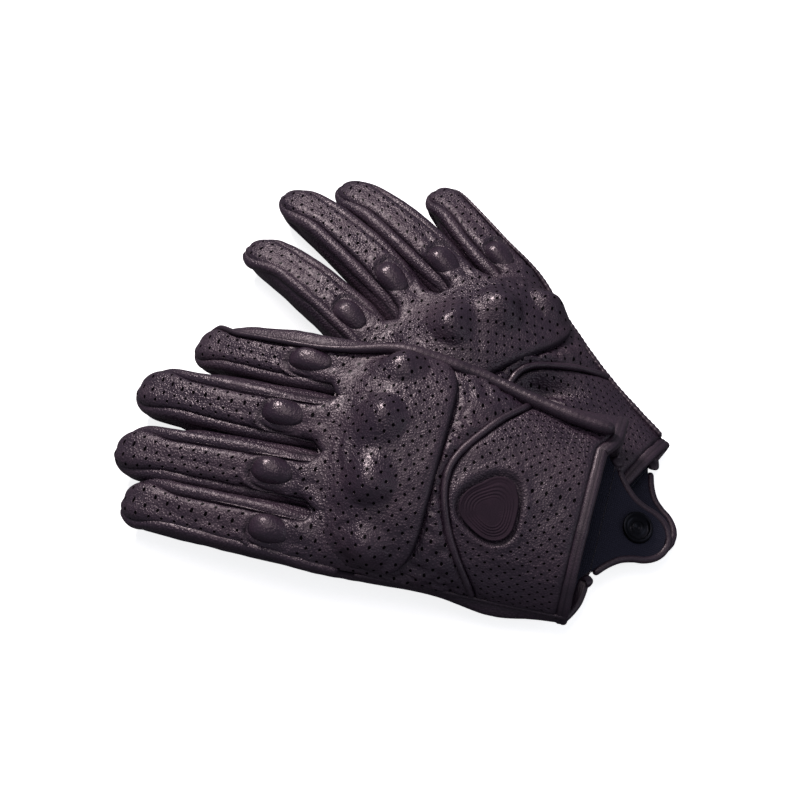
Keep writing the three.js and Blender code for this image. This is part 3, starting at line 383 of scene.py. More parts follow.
    def cover(self, side: Side, n: int, run: Array, t: Array, along: Array | None, out: Array | float) -> Array:
        """One finger's column of the back or the palm, joined to its neighbours.

        Args:
            side: The cover.
            n: The finger, index first.
            run: Distances from the crotch line, as a column of rows.
            t: Places across the column from 0 to 1.
            along: Places along the hand, or None past the crotch blend.
            out: Distances outwards.

        Returns:
            The points.
        """
        hand0, hand1, tip0, tip1 = self.limits(side, n, run)
        hand, tip = mix(hand0, hand1, t), mix(tip0, tip1, t)
        place = self.web(hand) + run if along is None else along
        point = self.skin(n, run, hand, tip, place, out)
        fade = (1 - ease(run / self.crotch)) * ease((run + self.blend_back) / 4)
        for edge, other in ((0, n - 1), (1, n + 1)):
            if not 0 <= other <= 3:
                continue
            angle = (hand0, hand1)[edge]
            spot = self.web(np.array(angle)) + run
            mine = self.skin(n, run, np.full_like(run, angle), (tip0, tip1)[edge], spot, 0.0)
            theirs = self.limits(side, other, run)[3 - edge]
            other_point = self.skin(other, run, np.full_like(run, angle), theirs, spot, 0.0)
            near = ease(1 - np.abs(t - edge) / 0.42) * fade
            point = point + (other_point - mine) / 2 * near[..., None]
        return point

    def wall(self, n: int, side: int, run: Array, level: Array, out: Array | float = 0.0) -> Array:
        """The wall of a finger beside crotch n: side 0 is the finger before it."""
        own = n + side
        top = self.seam(own, run, self.pose.seams[1 - side])
        under = self.seam(own, run, self.under_seam)
        sweep = mix(top, -under, level)
        point = self.finger(own, run, math.pi - sweep if side == 0 else sweep, out)
        edge = self.columns[n + 1]
        along = self.web(np.array(edge)) + run
        hand = mix(self.hand(along, edge), self.hand(along, -edge), level[..., None])
        hand[..., 1] += -out if side == 0 else out
        share = ease((run + self.blend_back) / (self.blend_back + self.blend_ahead))
        point = mix(hand, point, np.broadcast_to(share, point.shape[:-1])[..., None])
        point[..., 2] -= 1.6 * (1 - ease((run - self.crotch) / 9)) * (1 - 2 * level)
        return point

    def runs(self, n: int, start: float, step: float = 1.1, end: float = 1.0) -> Array:
        """Distances along a finger, closer together on its nose."""
        length = self.lengths[n]
        body = np.linspace(start, 0.84 * length, int((0.84 * length - start) / step))
        nose = np.sin(np.linspace(0, 1, 15)[1:] * math.pi / 2 * end)
        return np.concatenate([body, length * (0.84 + 0.16 * nose)])

    def crotch_path(self, n: int, level: float | Array, out: Array | float = 0.0, end: float = 0.93) -> Array:
        """Rows along a fourchette: one finger's wall, round the crotch, the next one's."""
        level = np.atleast_1d(np.asarray(level, float))[None, :]
        out = np.broadcast_to(np.asarray(out, float), level.shape)
        first, second = (self.runs(n + k, self.crotch, end=end)[:, None] for k in (0, 1))
        swell = np.sin(np.clip((level - 0.38) / 0.6, 0, 1) * math.pi) * self.pose.puff
        lift = [swell * ease((0.86 - run / self.lengths[n + k]) / 0.3) for k, run in ((0, first[::-1]), (1, second))]
        gap = self.wall(n, 0, second, np.array([[0.5]]))[..., 1] - self.wall(n, 1, second, np.array([[0.5]]))[..., 1]
        near = np.interp(first[::-1, 0], second[:, 0], gap[:, 0])[:, None]
        lift = [np.minimum(part, np.maximum(space, 0) / 2 + 0.2) for part, space in zip(lift, (near, gap))]
        a = self.wall(n, 0, first[::-1], level, out + lift[0])
        b = self.wall(n, 1, second, level, out + lift[1])
        back = -self.paths[n].at(np.array(0.0))[1]
        swing = np.linspace(0, math.pi, 14)[1:-1, None, None]
        start, finish = a[-1][None], b[0][None]
        turn = (start + finish) / 2 + (start - finish) / 2 * np.cos(swing)
        turn = turn + back * (self.setback - out)[..., None] * np.sin(swing)
        return np.concatenate([a, turn, b])

    def dent(self, along: Array, angle: Array) -> Array:
        """How deep the cuff is pressed in below its piping."""
        ahead, aside, deep = self.pose.fold
        below = self.line(self.piping, angle) - 0.9 - along
        return deep * bell(below - ahead, 6.5) * bell(self.knuckles / 2 * angle - aside, 22.0)

    # The cuff's edge.

    def palm_angle(self, y: float) -> float:
        """The angle round the palm at which the cuff's edge lies at a place across."""
        angles = np.linspace(-math.pi, 0, 1500)
        ys = self.hand(0.0, angles)[:, 1]
        return float(np.interp(y, ys, angles))

    def tongue_middle(self) -> float:
        """The place across of the tongue's middle."""
        near, far = self.table[1][1], self.table[1][3]
        return ((near + far) / 2 + self.pose.tongue_side) * self.knuckles

    def hinge_ends(self) -> tuple[Array, Array]:
        """The ends of the straight line that the tongue hangs on."""
        ends = []
        for sign in (1, -1):
            y = self.tongue_middle() + sign * 23
            ends.append(np.array([-4.0, y, self.hand(0.0, self.palm_angle(y))[2]]))
        return ends[0], ends[1]

    def inset(self, angle: Array) -> Array:
        """How far the cuff's edge is drawn in at angles round the hand."""
        return self.pose.cuff_in * ease((math.pi - self.side_seam - angle) / 0.55) * ease(angle + 1.0)

    def rim(self, angle: Array, share: Array | float, out: Array | float) -> Array:
        """The palm's rim past the back's edge, easing into the tongue's line."""
        near, far = self.hinge_ends()
        angle, share, out = np.broadcast_arrays(angle, share, out)
        point = self.hand(self.inset(angle), angle, out)
        y = point[..., 1]
        reach = 4.0 * (1 - ease((np.abs(y - self.tongue_middle()) - 23) / 6))
        place = (y - far[1]) / (near[1] - far[1])
        line = mix(far[2], near[2], np.clip(place, 0, 1)) - out
        inside = (place > 0) & (place < 1)
        point[..., 2] = np.where(inside, mix(point[..., 2], line, ease(share)), point[..., 2])
        point[..., 0] -= reach * share
        return point

    def cuff_edge(self, angle: Array, out: Array | float) -> Array:
        """The cuff's edge all round: the palm's rim below, the back's edge above."""
        wrapped = np.where(angle > math.pi, angle - 2 * math.pi, angle)
        below = self.rim(np.minimum(wrapped, 0), 1.0, out)
        above = np.maximum(wrapped, 0)
        return np.where((wrapped < 0)[..., None], below, self.hand(self.inset(above), above, out))

    def tongue(self, share: Array, place: Array, above: Array | float) -> Array:
        """The closure tongue: share from its hinge to its tip, place -1 to 1 across."""
        widths = np.array(
            [(0, 1), (0.18, 0.74), (0.36, 0.56), (0.55, 0.46), (0.72, 0.41), (0.86, 0.32), (0.95, 0.2), (1, 0.05)]
        )
        near, far = self.hinge_ends()
        width = read_table(widths, 1, share)
        point = (near + far) / 2 + (near - far) / 2 * (width * place)[..., None]
        point[..., 0] -= 0.3 + 28 * share
        point[..., 2] += above - math.sin(self.pose.tongue_drop) * 28 * share
        return point

    def laid(self, points: Array) -> Array:
        """Points of the glove's axes in metres where the glove lies."""
        turn = math.pi - self.pose.heading * RAD
        c, s = math.cos(turn), math.sin(turn)
        x, y, z = points[..., 0], points[..., 1], points[..., 2]
        world = [c * x - s * y + self.pose.cuff[0], s * x + c * y + self.pose.cuff[1], z]
        return np.stack(world, -1) * MM


# ---------------------------------------------------------------- finishes


class Graph:
    """Builds one material's nodes."""

    def __init__(self, name: str) -> None:
        """Starts a material with its shader."""
        self.material = bpy.data.materials.new(name)
        self.material.use_nodes = True
        self.tree = self.material.node_tree
        self.shader = self.tree.nodes["Principled BSDF"]

    def add(self, kind: str, sockets: dict | None = None, **options: object) -> bpy.types.Node:
        """Adds a node.

        Args:
            kind: The node's type without its ShaderNode prefix.
            sockets: Values or links by input name or number.
            options: The node's own settings.

        Returns:
            The node.
        """
        node = self.tree.nodes.new("ShaderNode" + kind)
        for key, value in options.items():
            setattr(node, key, value)
        for key, value in (sockets or {}).items():
            self.feed(node.inputs[key], value)
        return node

    def feed(self, socket: bpy.types.NodeSocket, value: object) -> None:
        """Links or sets one input."""
        if isinstance(value, bpy.types.NodeSocket):
            self.tree.links.new(value, socket)
        else:
            socket.default_value = value

    def math(self, operation: str, *values: object) -> bpy.types.NodeSocket:
        """The result of a Math node."""
        node = self.add("Math", dict(enumerate(values)), operation=operation)
        return node.outputs[0]

    def vector(self, operation: str, *values: object) -> bpy.types.NodeSocket:
        """The result of a Vector Math node."""
        node = self.add("VectorMath", dict(enumerate(values)), operation=operation)
        return node.outputs["Value" if operation in ("LENGTH", "DOT_PRODUCT") else "Vector"]

    def span(self, value: object, low: float, high: float, to_low: float, to_high: float) -> bpy.types.NodeSocket:
        """A value mapped smoothly from one span to another."""
        node = self.add(
            "MapRange",
            {"Value": value, "From Min": low, "From Max": high, "To Min": to_low, "To Max": to_high},
            interpolation_type="SMOOTHSTEP",
        )
        return node.outputs["Result"]

    def blend(self, factor: object, a: object, b: object) -> bpy.types.NodeSocket:
        """Two colours mixed."""
        node = self.add("Mix", {"Factor": factor, "A": a, "B": b}, data_type="RGBA")
        node.inputs[6].default_value = a if not isinstance(a, bpy.types.NodeSocket) else (0, 0, 0, 1)
        node.inputs[7].default_value = b if not isinstance(b, bpy.types.NodeSocket) else (0, 0, 0, 1)
        for number, value in ((6, a), (7, b)):
            if isinstance(value, bpy.types.NodeSocket):
                self.tree.links.new(value, node.inputs[number])
        return node.outputs[2]


def colour(text: str) -> tuple[float, float, float, float]:
    """A linear colour from six hexadecimal digits."""
    parts = [int(text[k : k + 2], 16) / 255 for k in (0, 2, 4)]
    return (*(p / 12.92 if p <= 0.04045 else ((p + 0.055) / 1.055) ** 2.4 for p in parts), 1.0)


@dataclass(frozen=True)
class Leather:
    """Grained leather, with or without rows of small pierced holes."""

    name: str
    shade: str = "291d2a"
    worn: str = "362733"
    # deep is the dark colour painted into the grain's hollows and into seams and grooves as painted shade.
    deep: str = "0b0812"
    roughness: float = 0.4
    grain: float = 1.0
    grain_depth: float = 0.52
    crease_depth: float = 0.13
    coat: float = 0.04
    shine: float = 0.5
    pierced: bool = False
    pitch: float = 5.9
    hole: float = 0.6

    def holes(self, graph: Graph) -> bpy.types.NodeSocket:
        """The mask of the holes, 1 in a hole, from the piece's own map."""
        pattern = graph.add("UVMap").outputs["UV"]
        drift = graph.add("TexNoise", {"Vector": pattern, "Scale": 60.0, "Detail": 0.0}).outputs["Color"]
        drift = graph.vector("MULTIPLY", graph.vector("SUBTRACT", drift, (0.5, 0.5, 0.5)), (0.0016, 0.0016, 0))
        place = graph.vector("ADD", pattern, drift)
        nearest = None
        for shift in (0.0, 0.5):
            cell = graph.vector("SCALE", place)
            cell.node.inputs["Scale"].default_value = 1000 / self.pitch
            cell = graph.vector("FRACTION", graph.vector("ADD", cell, (shift, shift, 0)))
            reach = graph.vector("LENGTH", graph.vector("SUBTRACT", cell, (0.5, 0.5, 0)))
            nearest = reach if nearest is None else graph.math("MINIMUM", nearest, reach)
        edge = self.hole / self.pitch
        mask = graph.span(nearest, edge * 0.82, edge * 1.18, 1.0, 0.0)
        return graph.math("MULTIPLY", mask, graph.add("Attribute", attribute_name="pierced").outputs["Fac"])

    def build(self) -> bpy.types.Material:
        """Makes the material.

        Returns:
            The material.
        """
        graph = Graph(self.name)
        place = graph.add("TexCoord").outputs["Object"]
        # The seam mark from the mesh: where it is high, the colour and specular below carry painted shade.
        seam = graph.add("Attribute", attribute_name="seam").outputs["Fac"]
        stretch = graph.add("Attribute", attribute_name="stretch").outputs["Fac"]
        warp = graph.add("TexNoise", {"Vector": place, "Scale": 420.0, "Detail": 2.0}).outputs["Color"]
        warp = graph.vector("SCALE", graph.vector("SUBTRACT", warp, (0.5, 0.5, 0.5)))
        warp.node.inputs["Scale"].default_value = 0.0006
        bent = graph.vector("ADD", place, warp)
        pebble = graph.add("TexVoronoi", {"Vector": bent, "Scale": 1000 / self.grain}, feature="SMOOTH_F1")
        pebble.inputs["Smoothness"].default_value = 0.2
        fine = graph.add("TexNoise", {"Vector": place, "Scale": 2600.0, "Detail": 3.0}).outputs["Fac"]
        crease = graph.add(
            "TexNoise", {"Vector": bent, "Scale": 480.0, "Detail": 3.0, "Roughness": 0.55, "Distortion": 0.5}
        ).outputs["Fac"]
        cloud = graph.add("TexNoise", {"Vector": place, "Scale": 45.0, "Detail": 3.0}).outputs["Fac"]
        grain = graph.span(pebble.outputs["Distance"], 0.05, 0.75, 1.0, 0.0)
        height = graph.math("MULTIPLY", grain, self.grain_depth)
        height = graph.math("ADD", height, graph.math("MULTIPLY", crease, self.crease_depth))
        height = graph.math("ADD", height, graph.math("MULTIPLY", fine, 0.05))
        slack = graph.span(stretch, 0.1, 1.0, 1.0, 0.85)
        height = graph.math("MULTIPLY", height, slack)
        tone = graph.blend(graph.span(cloud, 0.35, 0.7, 0.0, 0.75), colour(self.shade), colour(self.worn))
        # Painted shade: the grain's hollows are darkened towards the deep colour, less where the leather is taut.
        tone = graph.blend(graph.math("MULTIPLY", graph.span(grain, 0.5, 0.0, 0.0, 0.38), slack), tone, colour(self.deep))
        # Painted shade: seams and grooves are darkened towards the deep colour.
        tone = graph.blend(graph.math("MULTIPLY", seam, 0.85), tone, colour(self.deep))
        rough = graph.span(cloud, 0.3, 0.7, self.roughness - 0.05, self.roughness + 0.09)
        rough = graph.math("ADD", rough, graph.math("MULTIPLY", seam, 0.3))
        rough = graph.math("SUBTRACT", rough, graph.math("MULTIPLY", stretch, 0.06))
        # Painted shade also dims the specular in seams and grooves.
        shine = graph.span(seam, 0.2, 1.0, self.shine, 0.15)
        if self.pierced:
            holes = self.holes(graph)
            height = graph.math("SUBTRACT", height, graph.math("MULTIPLY", holes, 0.9))
            # The holes are real; their near-black colour and dimmed specular are painted shade inside them.
            tone = graph.blend(holes, tone, (0.0015, 0.001, 0.0015, 1))
            rough = graph.math("ADD", rough, graph.math("MULTIPLY", holes, 0.4))
            shine = graph.math("MULTIPLY", shine, graph.span(holes, 0.0, 0.8, 1.0, 0.0))
        bump = graph.add("Bump", {"Height": height, "Strength": 1.0, "Distance": 0.00034})
        graph.feed(graph.shader.inputs["Base Color"], tone)
        graph.feed(graph.shader.inputs["Roughness"], rough)
        graph.feed(graph.shader.inputs["Normal"], bump.outputs["Normal"])
        graph.shader.inputs["Coat Weight"].default_value = self.coat
        graph.shader.inputs["Coat Roughness"].default_value = 0.28
        graph.feed(graph.shader.inputs["Specular IOR Level"], shine)
        graph.shader.inputs["Specular Tint"].default_value = (1.0, 0.87, 0.9, 1)
        return graph.material


@dataclass(frozen=True)
class Cloth:
    """A fine knitted lining."""

    name: str
    shade: str = "191927"
    thread: str = "222336"
    roughness: float = 0.92
    pitch: float = 0.9

    def build(self) -> bpy.types.Material:
        """Makes the material.

        Returns:
            The material.
        """
        graph = Graph(self.name)
        place = graph.add("UVMap").outputs["UV"]
        scaled = graph.vector("SCALE", place)
        scaled.node.inputs["Scale"].default_value = 1000 / self.pitch
        weft = graph.add("TexWave", {"Vector": scaled, "Scale": 0.32, "Distortion": 0.4}, bands_direction="X")
        warp = graph.add("TexWave", {"Vector": scaled, "Scale": 0.32, "Distortion": 0.4}, bands_direction="Y")
        weave = graph.math("MULTIPLY", weft.outputs["Fac"], warp.outputs["Fac"])
        spot = graph.add("TexCoord").outputs["Object"]
        cloud = graph.add("TexNoise", {"Vector": spot, "Scale": 90.0, "Detail": 3.0}).outputs["Fac"]
        tone = graph.blend(graph.math("MULTIPLY", weave, cloud), colour(self.shade), colour(self.thread))
        bump = graph.add("Bump", {"Height": weave, "Strength": 0.7, "Distance": 0.00025})
        graph.feed(graph.shader.inputs["Base Color"], tone)
        graph.feed(graph.shader.inputs["Normal"], bump.outputs["Normal"])
        graph.shader.inputs["Roughness"].default_value = self.roughness
        graph.shader.inputs["Sheen Weight"].default_value = 0.15
        graph.shader.inputs["Specular IOR Level"].default_value = 0.25
        return graph.material


@dataclass(frozen=True)
class Moulded:
    """A plain moulded finish, for rubber, plastic and metal."""

    name: str
    shade: str
    worn: str
    roughness: float
    metallic: float = 0.0
    speckle: float = 1500.0
    depth: float = 0.00006
    shine: float = 0.5

    def build(self) -> bpy.types.Material:
        """Makes the material.

        Returns:
            The material.
        """
        graph = Graph(self.name)
        place = graph.add("TexCoord").outputs["Object"]
        cloud = graph.add("TexNoise", {"Vector": place, "Scale": 160.0, "Detail": 4.0}).outputs["Fac"]
        grit = graph.add("TexNoise", {"Vector": place, "Scale": self.speckle, "Detail": 2.0}).outputs["Fac"]
        tone = graph.blend(graph.span(cloud, 0.4, 0.7, 0.0, 1.0), colour(self.shade), colour(self.worn))
        rough = graph.span(cloud, 0.3, 0.7, self.roughness - 0.06, self.roughness + 0.08)
        bump = graph.add("Bump", {"Height": grit, "Strength": 0.6, "Distance": self.depth})
        graph.feed(graph.shader.inputs["Base Color"], tone)
        graph.feed(graph.shader.inputs["Roughness"], rough)
        graph.feed(graph.shader.inputs["Normal"], bump.outputs["Normal"])
        graph.shader.inputs["Metallic"].default_value = self.metallic
        graph.shader.inputs["Specular IOR Level"].default_value = self.shine
        return graph.material


class Finish(Enum):
    """The finishes of the gloves, with a material slot name for each."""

    PERFORATED = ("perforated_leather", Leather("perforated_leather", pierced=True))
    PLAIN = ("plain_leather", Leather("plain_leather"))
    SMOOTH = (
        "plain_leather",
        Leather("smooth_leather", shade="281a28", worn="30212e", grain_depth=0.3, crease_depth=0.25, roughness=0.38, shine=0.55),
    )
    TRIM = ("trim_leather", Leather("trim_leather", shade="251a25", grain=0.7, grain_depth=0.16, crease_depth=0.12))
    SHELL = ("hard_shell", Moulded("hard_shell", "1b1a1c", "232124", 0.5))
    BADGE = ("badge_rubber", Moulded("badge_rubber", "261a24", "2d202a", 0.75, shine=0.14))
    LINING = ("lining_cloth", Cloth("lining_cloth"))
    SNAP = ("snap_metal", Moulded("snap_metal", "0e0e13", "1a1a20", 0.28, metallic=0.85))


MATERIALS: dict[Finish, bpy.types.Material] = {}


# ---------------------------------------------------------------- modelling


@dataclass
class Patch:
    """A grid of points, in millimetres, with its pattern and its marks. The seam mark is painted shade in grooves and
    along seams.
    """

    points: Array
    pattern: Array | None = None
    pierced: Array | float = 0.0
    seam: Array | float = 0.0
    stretch: Array | float = 0.0


def select_only(obj: bpy.types.Object) -> None:
    """Selects one object and makes it active."""
    bpy.ops.object.select_all(action="DESELECT")
    obj.select_set(True)
    bpy.context.view_layer.objects.active = obj


def facing(place: Place) -> Array:
    """Whether a patch's columns must be turned round so that its faces look outwards.

    Args:
        place: Gives the points at a distance outwards, in millimetres.

    Returns:
        Whether the columns must be turned round.
    """
    points, above = place(0.0), place(0.6)
    normal = np.cross(np.gradient(points, axis=1), np.gradient(points, axis=0))
    return bool(np.sum(normal * (above - points)) < 0)


def grid(skin: Skin, patch: Patch, turned: bool) -> bpy.types.Object:
    """Lays a flat grid and moves its corners onto a patch.

    Args:
        skin: The glove whose axes the points are in.
        patch: The patch.
        turned: Whether to turn the columns round.

    Returns:
        The new object.
    """
    rows, columns = patch.points.shape[:2]
    bpy.ops.object.select_all(action="DESELECT")
    bpy.ops.mesh.primitive_grid_add(x_subdivisions=columns - 1, y_subdivisions=rows - 1, size=2)
    obj = bpy.context.object
    mesh = obj.data
    flat = np.empty(len(mesh.vertices) * 3)
    mesh.vertices.foreach_get("co", flat)
    spots = flat.reshape(-1, 3)
    column = np.rint((spots[:, 0] + 1) / 2 * (columns - 1)).astype(int)
    row = np.rint((spots[:, 1] + 1) / 2 * (rows - 1)).astype(int)
    if turned:
        column = columns - 1 - column
    mesh.vertices.foreach_set("co", skin.laid(patch.points)[row, column].ravel())
    pattern = patch.pattern if patch.pattern is not None else patch.points[..., :2]
    loops = np.empty(len(mesh.loops), int)
    mesh.loops.foreach_get("vertex_index", loops)
    mesh.uv_layers.active.data.foreach_set("uv", (pattern * MM)[row, column][loops].ravel())
    # Marks for the finish: holes, painted shade in seams and grooves, and taut leather.
    for name in ("pierced", "seam", "stretch"):
        values = getattr(patch, name)
        layer = mesh.attributes.new(name, "FLOAT", "POINT")
        spread = np.broadcast_to(values, (rows, columns))[row, column]
        layer.data.foreach_set("value", np.ascontiguousarray(spread, np.float32))
    mesh.update()
    return obj


def join(objects: list[bpy.types.Object], merge: float = 0.01) -> bpy.types.Object:
    """Joins objects into the first and merges corners that meet, in millimetres."""
    bpy.ops.object.select_all(action="DESELECT")
    for obj in objects:
        obj.select_set(True)
    bpy.context.view_layer.objects.active = objects[0]
    if len(objects) > 1:
        bpy.ops.object.join()
    bpy.ops.object.mode_set(mode="EDIT")
    bpy.ops.mesh.select_all(action="SELECT")
    bpy.ops.mesh.remove_doubles(threshold=merge * MM)
    bpy.ops.mesh.dissolve_degenerate(threshold=1e-6)
    bpy.ops.object.mode_set(mode="OBJECT")
    return objects[0]


def thicken(obj: bpy.types.Object, wall: float) -> None:
    """Gives a sheet its thickness inwards, in millimetres."""
    select_only(obj)
    modifier = obj.modifiers.new("wall", "SOLIDIFY")
    modifier.thickness = wall * MM
    modifier.offset = -1
    bpy.ops.object.modifier_apply(modifier=modifier.name)


@dataclass
class Piece:
    """One finished piece: its name, what it stands for and how it is dressed."""

    name: str
    body: str
    finish: Finish
    nodes: tuple = ()

    def dress(self, obj: bpy.types.Object) -> bpy.types.Object:
        """Names, finishes and places a modelled piece.

        Args:
            obj: The modelled piece.

        Returns:
            The same object.
        """
        select_only(obj)
        bpy.ops.object.shade_smooth_by_angle(angle=55 * RAD)
        obj.name = obj.data.name = self.name
        slot, look = self.finish.value
        if self.finish not in MATERIALS:
            MATERIALS[self.finish] = look.build()
        obj.data.materials.clear()
        obj.data.materials.append(MATERIALS[self.finish])
        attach(obj, self.body)
        if self.nodes:
            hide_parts(*self.nodes)
        LOG.info("%s: %d faces", self.name, len(obj.data.polygons))
        return obj


def tube(path: Array, radius: Array | float, turns: int = 12, flat: float = 1.0, crease: float = 0.0) -> Patch:
    """A closed roll along a line.

    Args:
        path: Points of the line, in millimetres.
        radius: The roll's radius at each point.
        turns: Corners round the roll.
        flat: Its height as a share of its width.
        crease: Depth of a groove along its top, as a share of the radius.

    Returns:
        The patch, whose last column meets its first.
    """
    ahead = unit(np.gradient(path, axis=0))
    up = np.array([0.0, 0.0, 1.0]) - ahead * ahead[:, 2:3]
    up = unit(up)
    across = np.cross(up, ahead)
    angle = np.linspace(0, 2 * math.pi, turns + 1)[None, :]
    radius = np.broadcast_to(radius, path.shape[:1])
    steps = np.concatenate([[0], np.cumsum(np.linalg.norm(np.diff(path, axis=0), axis=1))])
    ends = np.minimum(steps, steps[-1] - steps) / np.maximum(radius, 1e-3)
    radius = (radius * shoulder(ends / 1.2))[:, None]
    dent = 1 - crease * bell(np.cos(angle), 0.3) * (np.sin(angle) > 0)
    points = path[:, None] + across[:, None] * (radius * np.cos(angle))[..., None]
    points = points + up[:, None] * (radius * flat * np.sin(angle) * dent)[..., None]
    pattern = np.stack(np.broadcast_arrays(steps[:, None], angle * radius.max()), -1)
    return Patch(points, pattern)


def roll(skin: Skin, path: Array, radius: Array | float, **shape: object) -> bpy.types.Object:
    """Models one closed roll."""
    obj = grid(skin, tube(path, radius, **shape), turned=False)
    return join([obj])


def smooth_line(points: Array, count: int) -> Array:
    """Points spread evenly along a line."""
    return Path(points).at(np.linspace(0, 1, count))[0]


# ---------------------------------------------------------------- sub-assemblies


@dataclass
class HandShell:
    """The leather covers of the hand and fingers, their side walls and the lining."""

    skin: Skin
    leather: float = 1.2
    cells: int = 26
    roll_radius: float = 3.1
    dome_length: float = 18.5
    dome_width: float = 10.8

    def guard_back(self, angle: Array) -> Array:
        """Where the knuckle guard's back edge lies."""
        share = np.abs(2 * (angle - self.guard_side) / (math.pi - 2 * self.guard_side) - 1)
        shift = self.skin.web(angle) - self.skin.line(FRONT.web, angle)
        return 67 + 12 * np.minimum(share, 1.2) ** 5 + shift * 0.5

    guard_side: float = 14 * RAD * 1.7

    def across(self, n: int, run: Array, t: Array) -> Array:
        """Places across the back in millimetres, for patterns and creases."""
        skin = self.skin
        return 25 * (n + 0.5) + (t - 0.5) * mix(25.0, 17.0, ease((run + 12) / 16))

    def dome_reach(self, n: int, run: Array, t: Array) -> Array:
        """Distance from a finger dome's middle as a share of its outline."""
        middle = self.skin.lengths[n] * self.skin.dome_share
        return np.hypot((run - middle) / (self.dome_length / 2), (t - 0.5) * 15 / (self.dome_width / 2))

    def back_relief(self, n: int, run: Array, t: Array, along: Array, angle: Array) -> tuple[Array, Array]:
        """Rises of the back cover: dips at seams, folds, gathers and ripples.

        Args:
            n: The finger's column.
            run: Distances from the crotch line.
            t: Places across the column.
            along: Places along the hand.
            angle: Angles round the hand.

        Returns:
            The rise in millimetres and how deep in a seam each point lies; the finish paints this seam mark as
            painted shade.
        """
        skin = self.skin
        edge = np.minimum(t, 1 - t) * 16
        onto = ease((run + 7) / 8)
        outer = (t if n == 0 else 1 - t) * 24 if n in (0, 3) else np.full_like(run + t, 99.0)
        edge = np.where(onto > 0, edge, 99.0) + 12 * (1 - onto)
        edge = np.minimum(edge, outer)
        seam = bell(edge, 1.2)
        out = -1.5 * seam + 0.7 * bell(edge - 4.5, 3.0) * onto
        reach = self.dome_reach(n, run, t)
        crescent = ease((run - skin.lengths[n] * skin.dome_share + 5) / 6)
        out = out - 0.8 * bell(reach - 1.06, 0.1) * (0.15 + 0.85 * crescent)
        out = out + 0.8 * bell(reach - 1.27, 0.12) * (0.35 + 0.65 * crescent)
        # Painted shade in the groove round the dome's front.
        seam = np.maximum(seam, 0.6 * bell(reach - 1.05, 0.09) * crescent)
        v = self.across(n, run, t)
        out = out + 0.5 * noise(along / 3.1, v / 2.6, 3) * bell(reach - 1.5, 0.5)
        calm = 1 - 0.85 * ease((run / skin.lengths[n] - 0.74) / 0.16)
        out = out + (0.35 * noise(along / 11, v / 8, 1) + 0.16 * noise(along / 4.2, v / 3.4, 2)) * calm
        end = self.guard_back(angle)
        across = np.abs(2 * (angle - self.guard_side) / (math.pi - 2 * self.guard_side) - 1)
        front = skin.web(angle) - 4 - across**5 * 15
        under = ease((along - end - 1.5) / 3) * ease((front - 1.0 - along) / 2) * ease((0.985 - across) / 0.03)
        out = out - 1.25 * under * (1 - 0.6 * bell(along - end, 12))
        start = skin.line(skin.piping, angle) + 1.5
        share = (along - start) / np.maximum(end - start, 4)
        inside = (share > 0) & (share < 1) & (run <= -skin.blend_back)
        puff = np.where(inside, np.sin(np.clip(share, 0, 1) * math.pi) ** 0.6, 0)
        gathers = 1 - np.abs(noise(v / 2.6 + noise(along / 5, v / 7, 7), along / 7, 5)) * 2
        out = out + puff * (1.5 + 0.8 * gathers + 0.55 * noise(v / 1.9, along / 2.4, 6))
        return out, seam

    def back(self) -> bpy.types.Object:
        """Models the back cover from four columns of cells."""
        skin, parts = self.skin, []
        t = np.linspace(0, 1, self.cells + 1)[None, :]
        for n in range(4):
            hand_rows = np.linspace(0, 1, 44)[:, None]
            runs = np.concatenate([np.linspace(-skin.blend_back, 0, 21)[1:], skin.runs(n, 0)[1:]])[:, None]
            start, end, _, _ = skin.limits(Side.BACK, n, np.zeros((1, 1)))
            angle = mix(start, end, t)
            first = skin.line(skin.piping, angle) + 0.9
            web = skin.web(angle)
            along = np.concatenate([mix(first, web - skin.blend_back, hand_rows), web + runs])
            run = np.concatenate([np.full((44, 1), -skin.blend_back), runs])
            out, seam = self.back_relief(n, run, t, along, angle)

            def place(extra: float, n=n, run=run, along=along, out=out) -> Array:
                """The column's points."""
                return skin.cover(Side.BACK, n, run, t, along, out + extra)

            pattern = np.stack(np.broadcast_arrays(along, self.across(n, run, t)), -1)
            edge = np.minimum(t, 1 - t) * 16
            onto = ease((run + 7) / 8)
            pierced = ease((edge - 1.6) / 0.8) * onto + (1 - onto)
            pierced = pierced * ease((self.dome_reach(n, run, t) - 1.15) / 0.15)
            parts.append(grid(skin, Patch(place(0), pattern, pierced, seam), facing(place)))
        obj = join(parts)
        thicken(obj, self.leather)
        return obj

    def palm(self) -> bpy.types.Object:
        """Models the palm cover, with the rim that the tongue hangs on."""
        skin, parts = self.skin, []
        t = np.linspace(0, 1, 17)[None, :]
        for n in range(4):
            rims = np.linspace(1, 0, 7)[:-1, None]
            hand_rows = np.linspace(0, 1, 46)[:, None]
            runs = np.concatenate([np.linspace(-skin.blend_back, 0, 12)[1:], skin.runs(n, 0, 2.0)[1:]])[:, None]
            start, end, _, _ = skin.limits(Side.PALM, n, np.zeros((1, 1)))
            angle = mix(start, end, t)
            web = skin.web(angle)
            along = np.concatenate([mix(skin.inset(angle), web - skin.blend_back, hand_rows), web + runs])
            run = np.concatenate([np.full((46, 1), -skin.blend_back), runs])
            v = 25 * (n + t)
            outer = (t if n == 0 else 1 - t) * 24 if n in (0, 3) else np.full_like(run + t, 99.0)
            # The seam mark: painted shade along the outer seams.
            seam = bell(outer, 1.3) + np.zeros_like(run)
            out = -1.0 * seam + 0.3 * noise(along / 12, v / 9, 11) + 0.15 * noise(along / 4, v / 4, 12)
            beyond = (1 - bell(outer, 2.6)) * bell(outer - 6, 9) * skin.pose.side_bulge
            if n == 3:
                out = out + beyond * bell(along - web - 26, 42)
            if n == 0:
                out = out + beyond * 0.8 * bell(along - 32, 17)

